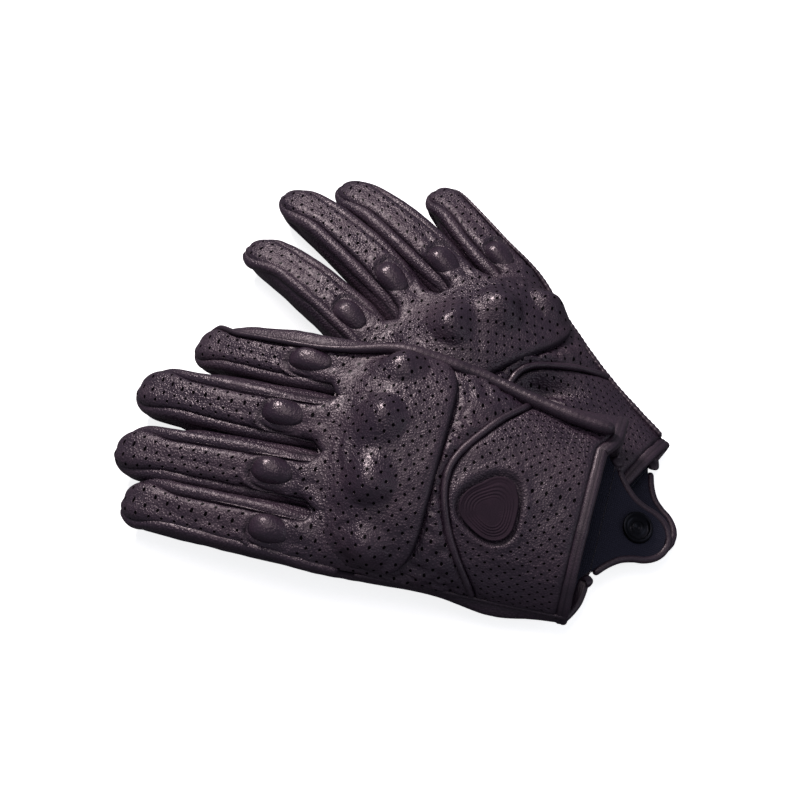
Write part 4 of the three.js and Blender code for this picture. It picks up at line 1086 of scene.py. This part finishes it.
            def place(extra: float, n=n, run=run, along=along, out=out, angle=angle) -> Array:
                """The column's points, rim first."""
                rest = skin.cover(Side.PALM, n, run, t, along, out + extra)
                return np.concatenate([skin.rim(angle, rims, extra), rest])

            points = place(0)
            spread = np.concatenate([-4 * rims + 0 * t, along])
            pattern = np.stack(np.broadcast_arrays(spread, v), -1)
            marks = np.concatenate([np.zeros((len(rims), t.size)), seam])
            parts.append(grid(skin, Patch(points, pattern, 0.0, marks), facing(place)))
        obj = join(parts)
        thicken(obj, self.leather)
        return obj

    def fourchette(self, n: int) -> bpy.types.Object:
        """Models the walls between two fingers, with the rolled seams on both edges."""
        skin = self.skin
        level = np.linspace(0, 1, 13)

        def place(extra: float) -> Array:
            """The wall's points."""
            return skin.crotch_path(n, level, extra, 0.97)

        points = place(0)
        # Painted shade: the seam mark darkens the wall along the line under the top roll.
        wall = grid(skin, Patch(points, None, 0.0, bell(level[None, :] - 0.22, 0.06)), facing(place))
        wall = join([wall])
        thicken(wall, self.leather)
        parts = [wall]
        for at, deep, size in ((0.2, -1.2, self.roll_radius), (0.95, 0.1, 1.2)):
            path = skin.crotch_path(n, at, deep, 0.97)[:, 0]
            wide = skin.crotch_path(n, at, deep - 1.9, 0.97)[:, 0]
            path = mix(path, wide, bell(np.linspace(-1, 1, len(path)), 0.24)[:, None]) if deep < 0 else path
            path = smooth_line(path, 260)
            s = np.linspace(0, 1, len(path)) * 200
            near = np.linspace(-1, 1, len(path))
            wobble = noise(s / 15, s * 0, 20 + n) * 0.1 + noise(s / 4.0, s * 0, 30 + n) * 0.03
            crumple = 0.14 * bell(near, 0.1) * noise(s / 2.2, s * 0, 40 + n)
            width = 1 - 0.2 * bell(near, 0.14) - 0.2 * np.abs(near) ** 4
            parts.append(roll(skin, path, size * width * (1 + wobble + crumple), turns=18))
        return join(parts, 0.0001)

    def side_path(self, n: int, from_run: float, angle: float, out: float) -> Array:
        """A line along the outer seam of the index or the little finger."""
        skin = self.skin
        run = skin.runs(n, from_run, 1.5, 0.8)
        seam = skin.seam(n, run, skin.pose.seams[0 if n == 0 else 1])
        hand = np.full_like(run, angle)
        tip = seam if n == 0 else math.pi - seam
        return skin.skin(n, run, hand, tip, skin.web(hand) + run, out)

    def index_roll(self) -> bpy.types.Object:
        """Models the rolled seam along the thumb's side of the index finger."""
        path = self.side_path(0, -14, self.skin.side_seam, -0.9)
        path = smooth_line(path, 170)
        s = np.arange(len(path))
        return roll(self.skin, path, 2.6 * (1 + 0.1 * noise(s / 14, s * 0, 51)), turns=18)

    def side_seam(self) -> bpy.types.Object:
        """Models the fine corded seam down the thumb's side of the hand."""
        skin = self.skin
        x = np.linspace(0.5, float(skin.web(np.array(skin.side_seam))) - 20, 120)
        path = skin.hand(x, skin.side_seam, -0.1)
        bead = 1 + 0.16 * np.sin(np.arange(len(x)) * math.pi * 2 / 3)
        return roll(skin, path, 0.95 * bead)

    def outseam(self) -> bpy.types.Object:
        """Models the double welt down the little finger's side, with its stitches."""
        skin = self.skin
        angle = math.pi - skin.side_seam
        web = float(skin.web(np.array(angle)))
        x = np.linspace(0.4, web - skin.blend_back, 70)
        hand = skin.hand(x, angle, 0.5)
        tail = self.side_path(3, -skin.blend_back, angle, 0.5)[1:]
        path = smooth_line(np.concatenate([hand, tail]), 420)
        ahead = unit(np.gradient(path, axis=0))
        out = skin.hand(x, angle, 2.0) - hand
        out = unit(out[40])
        across = unit(np.cross(ahead, out))
        parts = []
        s = np.linspace(0, Path(path).length, len(path))
        for sign, size in zip((-1, 1), skin.pose.welt):
            bead = 1 + (0.14 / size**2) * np.sin(s * 2 * math.pi / 2.6) + 0.07 * noise(s / 6, s * 0, 60 + sign)
            slim = 0.62 if size < 2 else 0.4
            taper = mix(1.0, slim, ease((s / s[-1] - 0.42) / 0.25))
            shift = (sign * size * 0.82 - skin.pose.welt[0] + skin.pose.welt[1]) * taper
            parts.append(roll(skin, path + across * shift[:, None], size * bead * taper))
        return join(parts, 0.0001)

    def lining(self) -> bpy.types.Object:
        """Models the cloth tube inside the hand."""
        skin = self.skin
        angle = np.linspace(0, 2 * math.pi, 97)[None, :]
        x = np.linspace(0, 1, 40)[:, None]

        def place(extra: float) -> Array:
            """The tube's points, drawn a little towards its middle."""
            v = np.sin(angle) * 20 + np.cos(angle) * 20
            ripple = 0.35 * noise(x * 9, v / 5, 70) * ease(x / 0.1)
            out = -2.4 - ripple + extra
            end = np.minimum(92, skin.web(np.clip(angle, 0, math.pi)) - skin.blend_back)
            wrapped = np.where(angle > math.pi, angle - 2 * math.pi, angle)
            first = 3.6 + skin.inset(wrapped)
            spot = first + x * (end - first)
            body = skin.hand(spot, wrapped, out - skin.dent(spot, np.maximum(wrapped, 0)))
            edge = skin.cuff_edge(angle, np.full_like(angle, -2.4) + extra)
            edge[..., 0] += 0.1
            rows = np.concatenate([mix(edge, body[:1], k)[0][None] for k in (0.0, 0.35, 0.7)])
            points = np.concatenate([rows, body])
            middle = points[:, :-1].mean(axis=1, keepdims=True)
            return mix(points, middle, 0.03)

        points = place(0)
        pattern = np.stack(np.broadcast_arrays(points[..., 0], angle * 28), -1)
        obj = join([grid(skin, Patch(points, pattern), facing(place))])
        thicken(obj, 0.7)
        return obj

    def build(self, body: str) -> None:
        """Models and dresses the covers.

        Args:
            body: The body that they ride on.
        """
        name = self.skin.pose.name
        Piece(f"{name}_back_cover", body, Finish.PERFORATED, (f"{name}_back_panel",)).dress(self.back())
        Piece(f"{name}_palm_cover", body, Finish.PLAIN, (f"{name}_palm_panel",)).dress(self.palm())
        for n in range(3):
            node = f"{name}_fourchette_{n + 1}"
            Piece(f"{node}_wall", body, Finish.PLAIN, (node,)).dress(self.fourchette(n))
        Piece(f"{name}_index_roll", body, Finish.PLAIN).dress(self.index_roll())
        Piece(f"{name}_thumb_side_seam", body, Finish.TRIM).dress(self.side_seam())
        Piece(f"{name}_double_welt", body, Finish.TRIM, (f"{name}_outseam_welt",)).dress(self.outseam())
        Piece(f"{name}_hand_lining", body, Finish.LINING, (f"{name}_lining",)).dress(self.lining())


@dataclass
class KnuckleGuard:
    """The padded knuckle cover, the hard shell in it and the finger domes."""

    shell: HandShell
    layer: float = 0.55
    plate: float = 1.8
    leather: float = 1.2
    bump_rise: float = 4.8
    bump_length: float = 19.0
    bump_width: float = 14.5
    dome_rise: float = 3.9

    def spots(self, i: Array, j: Array) -> tuple[Array, Array, Array]:
        """Places along, angles and distances from the edge on the guard's grid."""
        skin, side = self.shell.skin, self.shell.guard_side
        angle = mix(side, math.pi - side, j)
        corner = np.abs(2 * j - 1) ** 5 * 15
        front = skin.web(angle) - 4 - corner
        back = self.shell.guard_back(angle)
        along = mix(back, front, i)
        return along, angle, front - back

    def heights(self, along: Array, angle: Array, i: Array, j: Array, length: Array) -> Array:
        """How far the cover's face stands off the hand."""
        skin = self.shell.skin
        rise = np.zeros_like(along + angle)
        for n in range(4):
            middle = skin.middle(n)
            away = (skin.web(np.array(middle)) - skin.blend_back - along) / (self.bump_length / 2)
            aside = (np.cos(angle) - math.cos(middle)) * skin.knuckles / self.bump_width
            rise = np.maximum(rise, self.bump_rise * np.maximum(0, 1 - 0.5 * (away**2 + aside**2)) ** 1.3)
        back, front = i * length, (1 - i) * length
        sides = np.minimum(j, 1 - j) * 95
        lift = shoulder(back / 4.5) * ease(front / 20) * shoulder(sides / 7)
        v = 50 * np.cos(angle)
        ripple = 0.3 * noise(along / 7, v / 6, 80) + 0.18 * noise(along / 2.8, v / 2.6, 81)
        fold = 0.7 * noise(along / 3.4 + noise(along / 6, v / 6, 83), v / 4.5, 82) * bell(front - 7, 7)
        base = mix(0.25, self.layer + self.leather, 1 - bell(front, 9))
        return base + lift * (self.plate + 0.3 + rise) + ripple * lift + fold * ease(front / 3)

    def cover(self) -> bpy.types.Object:
        """Models the leather over the knuckles."""
        skin = self.shell.skin
        i, j = np.linspace(0, 1, 62)[:, None], np.linspace(0, 1, 121)[None, :]
        along, angle, length = self.spots(i, j)
        out = self.heights(along, angle, i, j, length)

        def place(extra: float) -> Array:
            """The cover's points."""
            return skin.hand(along, angle, out + extra)

        edge = np.minimum(i * length, np.minimum(j, 1 - j) * 95)
        # Painted shade along the cover's edge groove.
        seam = bell(edge, 0.9)
        v = 25 * (1 - power(np.cos(angle), skin.edge_power)) * 2
        pattern = np.stack(np.broadcast_arrays(along, v), -1)
        holes = ease((edge - 2.2) / 0.8) * ease((1 - i) * length / 2)
        taut = ease((self.heights(along, angle, i, j, length) - 4.4) / 2.6)
        obj = join([grid(skin, Patch(place(0), pattern, holes, seam, taut), facing(place))])
        thicken(obj, self.leather)
        return obj

    def plate_under(self) -> bpy.types.Object:
        """Models the hard shell that lies under the cover."""
        skin = self.shell.skin
        i, j = np.linspace(0.14, 0.7, 30)[:, None], np.linspace(0.12, 0.88, 60)[None, :]
        along, angle, length = self.spots(i, j)
        out = self.heights(along, angle, i, j, length) - self.leather - 0.35

        def place(extra: float) -> Array:
            """The shell's points."""
            return skin.hand(along, angle, out + extra)

        obj = join([grid(skin, Patch(place(0)), facing(place))])
        thicken(obj, 1.1)
        return obj

    def dome(self, n: int) -> bpy.types.Object:
        """Models one finger dome, closed underneath."""
        skin = self.shell.skin
        r = np.concatenate([np.sin(np.linspace(0, 1, 16) * math.pi / 2), [1.0, 0.7, 0.0]])[:, None]
        turn = np.linspace(0, 2 * math.pi, 41)[None, :]
        top = (np.arange(len(r)) < 16)[:, None]
        middle = skin.lengths[n] * skin.dome_share
        egg = 1 + 0.14 * np.cos(turn)
        run = middle + 2.6 * (1 - r) + r * self.shell.dome_length / 2 * np.cos(turn)
        aside = r * self.shell.dome_width / skin.finger_width * np.sin(turn) * egg
        high = 0.1 + self.dome_rise * np.maximum(0, 1 - r * r) ** 1.3
        out = np.where(top, high, -0.9) + 0 * turn
        hand = skin.middle(n) + aside * 0.2
        points = skin.skin(n, run, hand, math.pi / 2 + aside, skin.web(hand) + run, out)
        pattern = np.stack([run + 0 * aside, aside * 12], -1)
        hole = bell(r * 8, 0.9) * top + 0 * turn
        # The seam mark paints shade round the dome's foot.
        obj = grid(skin, Patch(points, pattern, hole, bell(r - 1, 0.12) + 0 * turn, 0.8), turned=False)
        return join([self.outwards(obj)])

    @staticmethod
    def outwards(obj: bpy.types.Object) -> bpy.types.Object:
        """Merges a closed shell's doubles and turns its faces outwards."""
        join([obj])
        bpy.ops.object.mode_set(mode="EDIT")
        bpy.ops.mesh.select_all(action="SELECT")
        bpy.ops.mesh.normals_make_consistent(inside=False)
        bpy.ops.object.mode_set(mode="OBJECT")
        return obj

    def build(self, body: str) -> None:
        """Models and dresses the guard and the domes.

        Args:
            body: The body that they ride on.
        """
        name = self.shell.skin.pose.name
        Piece(f"{name}_guard_cover", body, Finish.PERFORATED, (f"{name}_knuckle_cover",)).dress(self.cover())
        Piece(f"{name}_guard_shell", body, Finish.SHELL, (f"{name}_knuckle_shell",)).dress(self.plate_under())
        for n in range(4):
            node = f"{name}_finger_dome_{n + 1}"
            Piece(f"{node}_cap", body, Finish.SMOOTH, (node,)).dress(self.dome(n))


@dataclass
class Cuff:
    """The cuff panel with its badge, the piping and the edge binding."""

    skin: Skin
    leather: float = 1.2
    badge_radius: float = 12.2
    badge_points: float = 0.09
    badge_angle: float = 79 * RAD
    badge_along: float = 41.4
    pipe: float = 1.55

    def badge_reach(self, along: Array, angle: Array) -> Array:
        """Distance from the badge's middle as a share of its outline."""
        dx = along - self.badge_along
        dy = -(angle - self.badge_angle) * self.skin.knuckles / 2
        turn = np.arctan2(dy, dx)
        return np.hypot(dx, dy) / (self.badge_radius * (1 + self.badge_points * np.cos(3 * turn)))

    def panel(self) -> bpy.types.Object:
        """Models the perforated panel round the wrist."""
        skin = self.skin
        i, j = np.linspace(0, 1, 64)[:, None], np.linspace(0, 1, 121)[None, :]
        side = skin.side_seam + 0.01
        angle = mix(side, math.pi - side, j)
        end = skin.line(skin.piping, angle) - 0.9
        along = mix(skin.inset(angle) - 0.3, end, i)
        v = skin.knuckles / 2 * angle
        reach = self.badge_reach(along, angle)
        edge = np.minimum(np.minimum(along - skin.inset(angle), end - along), np.minimum(j, 1 - j) * 110)
        out = 0.9 * shoulder(edge / 6) - 0.7 * bell(edge, 1.2)
        out = out + 0.3 * noise(along / 9, v / 8, 90) + 0.14 * noise(along / 3, v / 3, 91)
        out = out - 1.0 * bell(reach - 1.08, 0.07) + 0.6 * bell(reach - 1.28, 0.14) - 1.2 * ease((1.06 - reach) / 0.1)
        out = out - skin.dent(along, angle)

        def place(extra: float) -> Array:
            """The panel's points."""
            return skin.hand(along, angle, out + extra)

        pattern = np.stack(np.broadcast_arrays(along, v), -1)
        holes = ease((edge - 2.4) / 1.0) * ease((reach - 1.22) / 0.12)
        # Painted shade along the panel's edges and in the groove round the badge.
        seam = np.maximum(bell(edge, 1.1), 0.8 * bell(reach - 1.08, 0.08))
        obj = join([grid(skin, Patch(place(0), pattern, holes, seam), facing(place))])
        thicken(obj, self.leather)
        return obj

    def piping(self) -> bpy.types.Object:
        """Models the corded piping that rings the cuff panel."""
        skin = self.skin
        angle = np.linspace(skin.side_seam + 0.06, math.pi - skin.side_seam - 0.02, 200)
        path = skin.hand(skin.line(skin.piping, angle), angle, 0.55)
        path = smooth_line(path, 260)
        s = np.arange(len(path))
        return roll(skin, path, self.pipe * (1 + 0.07 * noise(s / 8, s * 0, 95)))

    def binding(self) -> bpy.types.Object:
        """Models the leather binding round the cuff's edge, creased along its middle."""
        skin = self.skin
        near, far = skin.hinge_ends()
        start, finish = skin.palm_angle(near[1] + 1.9), skin.palm_angle(far[1] - 1.9)
        angle = np.linspace(start, finish + 2 * math.pi, 420)
        edge = skin.cuff_edge(angle, np.full_like(angle, -1.5))
        outer = skin.cuff_edge(angle, np.full_like(angle, -0.3)) - edge
        edge = smooth_line(edge, 420)
        outer = unit(outer)
        ahead = unit(np.gradient(edge, axis=0))
        away = unit(np.cross(ahead, outer))
        away = away * -np.sign(away[:, :1])
        centre = edge + away * 2.0
        centre[:, 2] = np.maximum(centre[:, 2], 2.0)
        turn = np.linspace(0, 2 * math.pi, 25)[None, :]
        c, s = np.cos(turn), np.sin(turn)
        k = np.arange(len(angle))
        swell = (1 + 0.05 * noise(k / 12, k * 0, 97))[:, None]
        ends = np.minimum(k, len(k) - 1 - k)[:, None]
        swell = swell * shoulder(ends / 6)
        dent = 1 - 0.12 * bell(c, 0.16)
        across = (2.75 * swell * power(c, 0.8))[..., None]
        high = (2.15 * swell * power(s, 0.75) * dent)[..., None]
        points = centre[:, None] + away[:, None] * across + outer[:, None] * high
        # Painted shade in the crease along the binding's top.
        seam = bell(c, 0.12) * 0.6 * (s > 0) + 0 * swell
        pattern = np.stack(np.broadcast_arrays(k[:, None] * 0.4, turn * 2.4), -1)
        obj = grid(skin, Patch(points, pattern, 0.0, seam), turned=False)
        return KnuckleGuard.outwards(obj)

    def badge(self) -> bpy.types.Object:
        """Models the badge: a dished triangle with round corners and fine ridges."""
        skin = self.skin
        top = np.linspace(0, 1, 56)
        rows = np.concatenate([top, [1.0, 0.6, 0.0]])[:, None]
        turn = np.linspace(0, 2 * math.pi, 91)[None, :]
        reach = rows * self.badge_radius * (1 + self.badge_points * np.cos(3 * turn))
        ridge = 0.13 * np.cos(rows * self.badge_radius * 2 * math.pi / 1.2) * ease((rows - 0.42) / 0.08)
        ridge = ridge * ease((0.9 - rows) / 0.04)
        high = 1.0 + 0.4 * rows**2 + ridge + 0.3 * bell(rows - 0.95, 0.04)
        out = np.where((np.arange(len(rows)) < 56)[:, None], high * shoulder((1 - rows) / 0.03 + 0.15), -0.3)
        angle = self.badge_angle - reach * np.sin(turn) / (skin.knuckles / 2)
        points = skin.hand(self.badge_along + reach * np.cos(turn), angle, out + 0 * turn)
        obj = grid(skin, Patch(points), turned=False)
        return KnuckleGuard.outwards(obj)

    def build(self, body: str) -> None:
        """Models and dresses the cuff.

        Args:
            body: The body that it rides on.
        """
        name = self.skin.pose.name
        Piece(f"{name}_wrist_panel", body, Finish.PERFORATED, (f"{name}_cuff_panel",)).dress(self.panel())
        Piece(f"{name}_wrist_piping", body, Finish.TRIM, (f"{name}_cuff_piping",)).dress(self.piping())
        Piece(f"{name}_edge_binding", body, Finish.TRIM, (f"{name}_cuff_binding",)).dress(self.binding())
        Piece(f"{name}_ridged_badge", body, Finish.BADGE, (f"{name}_badge",)).dress(self.badge())


@dataclass
class Thumb:
    """The thumb's two halves and the rolled seams between them."""

    skin: Skin
    length: float = 66.0
    width: float = 24.0
    depth: float = 13.0
    mouth: float = 34.0

    def path(self) -> Path:
        """The thumb's middle line."""
        spec = self.skin.pose.thumb
        points = [self.skin.hand(spec["along"] * self.skin.palm, spec["angle"] * RAD)]
        heads = []
        for k in range(2):
            yaw, pitch = spec["head"][k] * RAD, spec["dip"][k] * RAD
            flat = math.cos(pitch)
            heads.append(np.array([flat * math.cos(yaw), flat * math.sin(yaw), -math.sin(pitch)]))
        for n in range(12):
            ahead = unit(mix(heads[0], heads[1], float(ease(n / 12 * 2.2))))
            points.append(points[-1] + ahead * self.length / 12)
        line = np.array(points)
        line[1:, 2] = np.maximum(line[1:, 2], self.depth / 2)
        knots, dense = np.arange(13), np.linspace(0, 12, 200)
        table = np.column_stack([knots, line])
        return Path(np.stack([read_table(table, c, dense) for c in (1, 2, 3)], -1))

    def ring(self, path: Path, share: Array, turn: Array, out: Array | float) -> Array:
        """Points of the thumb's tube."""
        centre, ahead = path.at(share)
        side = unit(np.cross([0.0, 0.0, 1.0], ahead))
        up = unit(np.cross(ahead, side))
        nose = np.clip((share - 0.8) / 0.2, 0, 1)
        shrink = np.maximum(0.01, np.sqrt(1 - nose**2)) * (1 - 0.15 * share)
        across = (self.width / 2 + out) * shrink * power(np.cos(turn), 0.85)
        rise = (self.depth / 2 + out) * shrink * power(np.sin(turn), 0.85)
        centre = centre + ahead * (out * ease((share - 0.7) / 0.3))[..., None]
        point = centre + side * across[..., None] + up * rise[..., None]
        point[..., 2] = np.maximum(point[..., 2], np.maximum(-out, 0))
        return point

    def surface(self, share: Array, turn: Array, out: Array) -> Array:
        """The thumb's skin from its mouth on the palm to its tip."""
        skin, spec = self.skin, self.skin.pose.thumb
        share, turn, out = np.broadcast_arrays(share, turn, out)
        twist = spec["twist"] * RAD
        c, s = np.cos(turn), np.sin(turn)
        wide = self.width / 2 / (skin.knuckles / 2)
        along = spec["along"] * skin.palm + self.mouth / 2 * (s * math.cos(twist) - c * math.sin(twist))
        angle = spec["angle"] * RAD + wide * (c * math.cos(twist) + s * math.sin(twist))
        start = skin.hand(along, angle, 0.3 + out)
        tube_point = self.ring(self.path(), np.maximum(share, 0.22), turn, out)
        return mix(start, tube_point, np.clip(share / 0.22, 0, 1)[..., None])

    def half(self, which: int) -> bpy.types.Object:
        """Models one half of the thumb."""
        nose = 0.8 + 0.2 * np.sin(np.linspace(0, 1, 12)[1:] * math.pi / 2)
        share = np.concatenate([np.linspace(0, 0.8, 50), nose])[:, None]
        j = np.linspace(0, 1, 31)[None, :]
        turn = mix(0.02, math.pi - 0.02, j) + which * math.pi
        edge = np.minimum(j, 1 - j) * 30
        v = turn * 9
        out = 0.4 * noise(share * 8, v / 7, 101) * ease(share / 0.2) - 0.8 * bell(edge, 1.2)

        def place(extra: float) -> Array:
            """The half's points."""
            return self.surface(share, turn, out + extra)

        pattern = np.stack(np.broadcast_arrays(share * 66, v), -1)
        # The seam mark paints shade along the half's dipped edges.
        obj = join([grid(self.skin, Patch(place(0), pattern, 0.0, bell(edge, 1.2)), facing(place))])
        thicken(obj, 1.2)
        return obj

    def seams(self) -> bpy.types.Object:
        """Models the two rolled seams down the thumb."""
        parts = []
        share = np.linspace(0.06, 0.985, 90)
        for turn in (0.0, math.pi):
            path = self.surface(share, np.full_like(share, turn), np.full_like(share, 0.2))
            parts.append(roll(self.skin, smooth_line(path, 110), 1.1))
        return join(parts, 0.0001)

    def build(self, body: str) -> None:
        """Models and dresses the thumb.

        Args:
            body: The body that it rides on.
        """
        name = self.skin.pose.name
        Piece(f"{name}_thumb_back_half", body, Finish.PLAIN, (f"{name}_thumb_back",)).dress(self.half(0))
        Piece(f"{name}_thumb_front_half", body, Finish.PLAIN, (f"{name}_thumb_front",)).dress(self.half(1))
        Piece(f"{name}_thumb_seams", body, Finish.TRIM).dress(self.seams())


@dataclass
class Tongue:
    """The snap tongue: leather, lining, edge binding and snap."""

    skin: Skin
    leather: float = 1.2
    cloth: float = 0.7
    snap_radius: float = 6.6

    def layer(self, low: float, wall: float, inset: float, seed: float) -> bpy.types.Object:
        """Models one layer of the tongue."""
        share = (1 - (1 - np.linspace(0, 1, 50)) ** 1.5)[:, None]
        place = np.linspace(-1, 1, 41)[None, :]
        bulge = 0.25 * (1 - place**2) * np.sin(share * math.pi) * (1 if seed > 110 else -1)
        ripple = 0.15 * noise(share * 7, place * 4, seed)

        def points(extra: float) -> Array:
            """The layer's points."""
            return self.skin.tongue(share * (1 - inset * 0.04) - inset * 0.035, place * (1 - inset * 0.03), low + wall + ripple + bulge + extra)

        spread = points(0)
        obj = join([grid(self.skin, Patch(spread, spread[..., :2]), facing(points))])
        thicken(obj, wall)
        return obj

    def binding(self) -> bpy.types.Object:
        """Models the roll round the tongue's free edge."""
        share = np.concatenate([np.linspace(0.01, 1, 60), np.linspace(1, 0.01, 60)])
        place = np.concatenate([np.full(60, 1.0), np.full(60, -1.0)])
        path = self.skin.tongue(share, place, 1.1)
        middle = self.skin.tongue(np.array([0.5]), np.array([0.0]), 1.1)
        path = smooth_line(path, 160)
        ahead = unit(np.gradient(path, axis=0))
        outward = unit(np.cross(ahead, [0.0, 0.0, 1.0]))
        outward = outward * np.sign(np.sum(outward * (path - middle), axis=1, keepdims=True))
        for _ in range(6):
            outward[1:-1] = unit(outward[:-2] + outward[1:-1] * 2 + outward[2:])
        return roll(self.skin, path + outward * 0.9, 1.65, flat=0.95)

    def disc(self, low: float, profile: tuple) -> bpy.types.Object:
        """Models a turned disc from pairs of radius and height."""
        skin = self.skin
        centre = skin.tongue(np.array([0.53]), np.array([-0.12]), low)[0]
        near, far = skin.hinge_ends()
        tilt = (near[2] - far[2]) / (near[1] - far[1])
        slope = math.sin(skin.pose.tongue_drop)
        rows = np.array(profile)
        turn = np.linspace(0, 2 * math.pi, 49)[None, :]
        r, h = rows[:, :1] * self.snap_radius, rows[:, 1:]
        x, y = r * np.cos(turn), r * np.sin(turn)
        points = centre + np.stack([x, y, h + x * slope + y * tilt], -1)
        return KnuckleGuard.outwards(grid(skin, Patch(points), turned=False))

    def build(self, body: str) -> None:
        """Models and dresses the tongue.

        Args:
            body: The body that it rides on.
        """
        name = self.skin.pose.name
        high = self.leather + 0.3 + self.cloth
        Piece(f"{name}_tongue_outer", body, Finish.PLAIN, (f"{name}_tongue_leather",)).dress(
            self.layer(0.0, self.leather, 0.0, 105)
        )
        Piece(f"{name}_tongue_inner", body, Finish.LINING, (f"{name}_tongue_lining",)).dress(
            self.layer(self.leather + 0.3, self.cloth, 0.3, 115)
        )
        Piece(f"{name}_tongue_edge", body, Finish.TRIM, (f"{name}_tongue_binding",)).dress(self.binding())
        socket = (
            (0, 0.7), (0.14, 0.72), (0.2, 1.15), (0.3, 1.25), (0.38, 1.1), (0.42, 0.75), (0.6, 0.7), (0.72, 0.85),
            (0.78, 1.5), (0.84, 1.85), (0.91, 1.9), (0.97, 1.6), (1.0, 1.0), (1.0, 0.1), (0.96, 0), (0, 0),
        )
        Piece(f"{name}_snap_ring", body, Finish.SNAP, (f"{name}_snap_socket",)).dress(self.disc(high + 0.3, socket))
        cap = ((0, 1.3), (0.9, 1.3), (1, 1.1), (1, 0.6), (0.9, 0.2), (0.6, 0.05), (0, 0))
        Piece(f"{name}_snap_button", body, Finish.SNAP, (f"{name}_snap_cap",)).dress(self.disc(-1.6, cap))


@dataclass
class Glove:
    """One whole glove."""

    pose: Pose

    def build(self) -> None:
        """Models and dresses every piece of the glove."""
        skin = Skin(self.pose)
        body, flap = f"{self.pose.name}_glove", f"{self.pose.name}_tongue"
        shell = HandShell(skin)
        shell.build(body)
        KnuckleGuard(shell).build(body)
        Cuff(skin).build(body)
        Thumb(skin).build(body)
        Tongue(skin).build(flap)


# ---------------------------------------------------------------- the studio


@dataclass
class Studio:
    """The camera, the pale floor and the soft lights."""

    aim: tuple = (0.0019, 0.0003, 0.0)
    lens: float = 85.0

    def camera(self) -> None:
        """Sets the camera at the photograph's angle."""
        data = bpy.data.cameras.new("camera")
        data.lens, data.sensor_width = self.lens, 36.0
        data.clip_start, data.clip_end = 0.05, 20.0
        obj = bpy.data.objects.new("camera", data)
        obj.location = (self.aim[0], self.aim[1] - 0.430, 0.7448)
        obj.rotation_euler = (math.radians(30), 0, 0)
        bpy.context.collection.objects.link(obj)
        bpy.context.scene.camera = obj

    def lamp(self, name: str, place: tuple, size: float, power: float, tint: tuple) -> None:
        """Adds one soft lamp that faces the gloves."""
        data = bpy.data.lights.new(name, "AREA")
        data.shape, data.size, data.energy, data.color = "DISK", size, power, tint
        obj = bpy.data.objects.new(name, data)
        obj.location = place
        away = np.array(place)
        yaw = math.atan2(away[1], away[0])
        pitch = math.acos(away[2] / np.linalg.norm(away))
        obj.rotation_euler = (0, pitch, yaw)
        bpy.context.collection.objects.link(obj)

    def floor(self) -> None:
        """Lays a white floor that keeps a soft shadow."""
        bpy.ops.object.select_all(action="DESELECT")
        bpy.ops.mesh.primitive_plane_add(size=8, location=(0, 0, -0.0002))
        obj = bpy.context.object
        obj.name = "floor"
        graph = Graph("pale_floor")
        path = graph.add("LightPath")
        glow = graph.add("Emission", {"Color": (1, 1, 1, 1), "Strength": 0.8})
        matte = graph.add("BsdfDiffuse", {"Color": (0.8, 0.8, 0.8, 1)})
        dull = graph.add("BsdfDiffuse", {"Color": (0.12, 0.12, 0.13, 1)})
        both = graph.add("AddShader", {0: glow.outputs[0], 1: matte.outputs[0]})
        seen = path.outputs["Is Camera Ray"]
        pick = graph.add("MixShader", {0: seen, 1: dull.outputs[0], 2: both.outputs[0]})
        output = graph.tree.nodes["Material Output"]
        graph.tree.links.new(pick.outputs[0], output.inputs["Surface"])
        obj.data.materials.append(graph.material)

    def world(self) -> None:
        """A low even light, white where the camera sees it."""
        world = bpy.data.worlds.new("room")
        bpy.context.scene.world = world
        world.use_nodes = True
        nodes, links = world.node_tree.nodes, world.node_tree.links
        dim = nodes["Background"]
        dim.inputs["Color"].default_value = (0.82, 0.86, 1.0, 1)
        dim.inputs["Strength"].default_value = 0.3
        white = nodes.new("ShaderNodeBackground")
        white.inputs["Strength"].default_value = 1.0
        path, pick = nodes.new("ShaderNodeLightPath"), nodes.new("ShaderNodeMixShader")
        links.new(path.outputs["Is Camera Ray"], pick.inputs[0])
        links.new(dim.outputs[0], pick.inputs[1])
        links.new(white.outputs[0], pick.inputs[2])
        links.new(pick.outputs[0], nodes["World Output"].inputs["Surface"])

    def build(self) -> None:
        """Sets up the studio."""
        self.camera()
        self.floor()
        self.world()
        warm, cool = (1.0, 0.91, 0.92), (0.85, 0.9, 1.0)
        self.lamp("key", (-0.5, 0.9, 0.95), 0.26, 19.5, warm)
        self.lamp("top", (-0.1, 0.1, 1.4), 0.8, 4, warm)
        self.lamp("fill", (1.2, -0.4, 0.9), 0.8, 2, cool)
        bpy.context.scene.view_settings.view_transform = "Standard"


def main() -> None:
    """Builds the studio and both gloves."""
    logging.basicConfig(level=logging.INFO, format="%(name)s %(message)s")
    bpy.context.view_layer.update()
    Studio().build()
    Glove(REAR).build()
    Glove(FRONT).build()


if __name__ == "__main__":
    main()
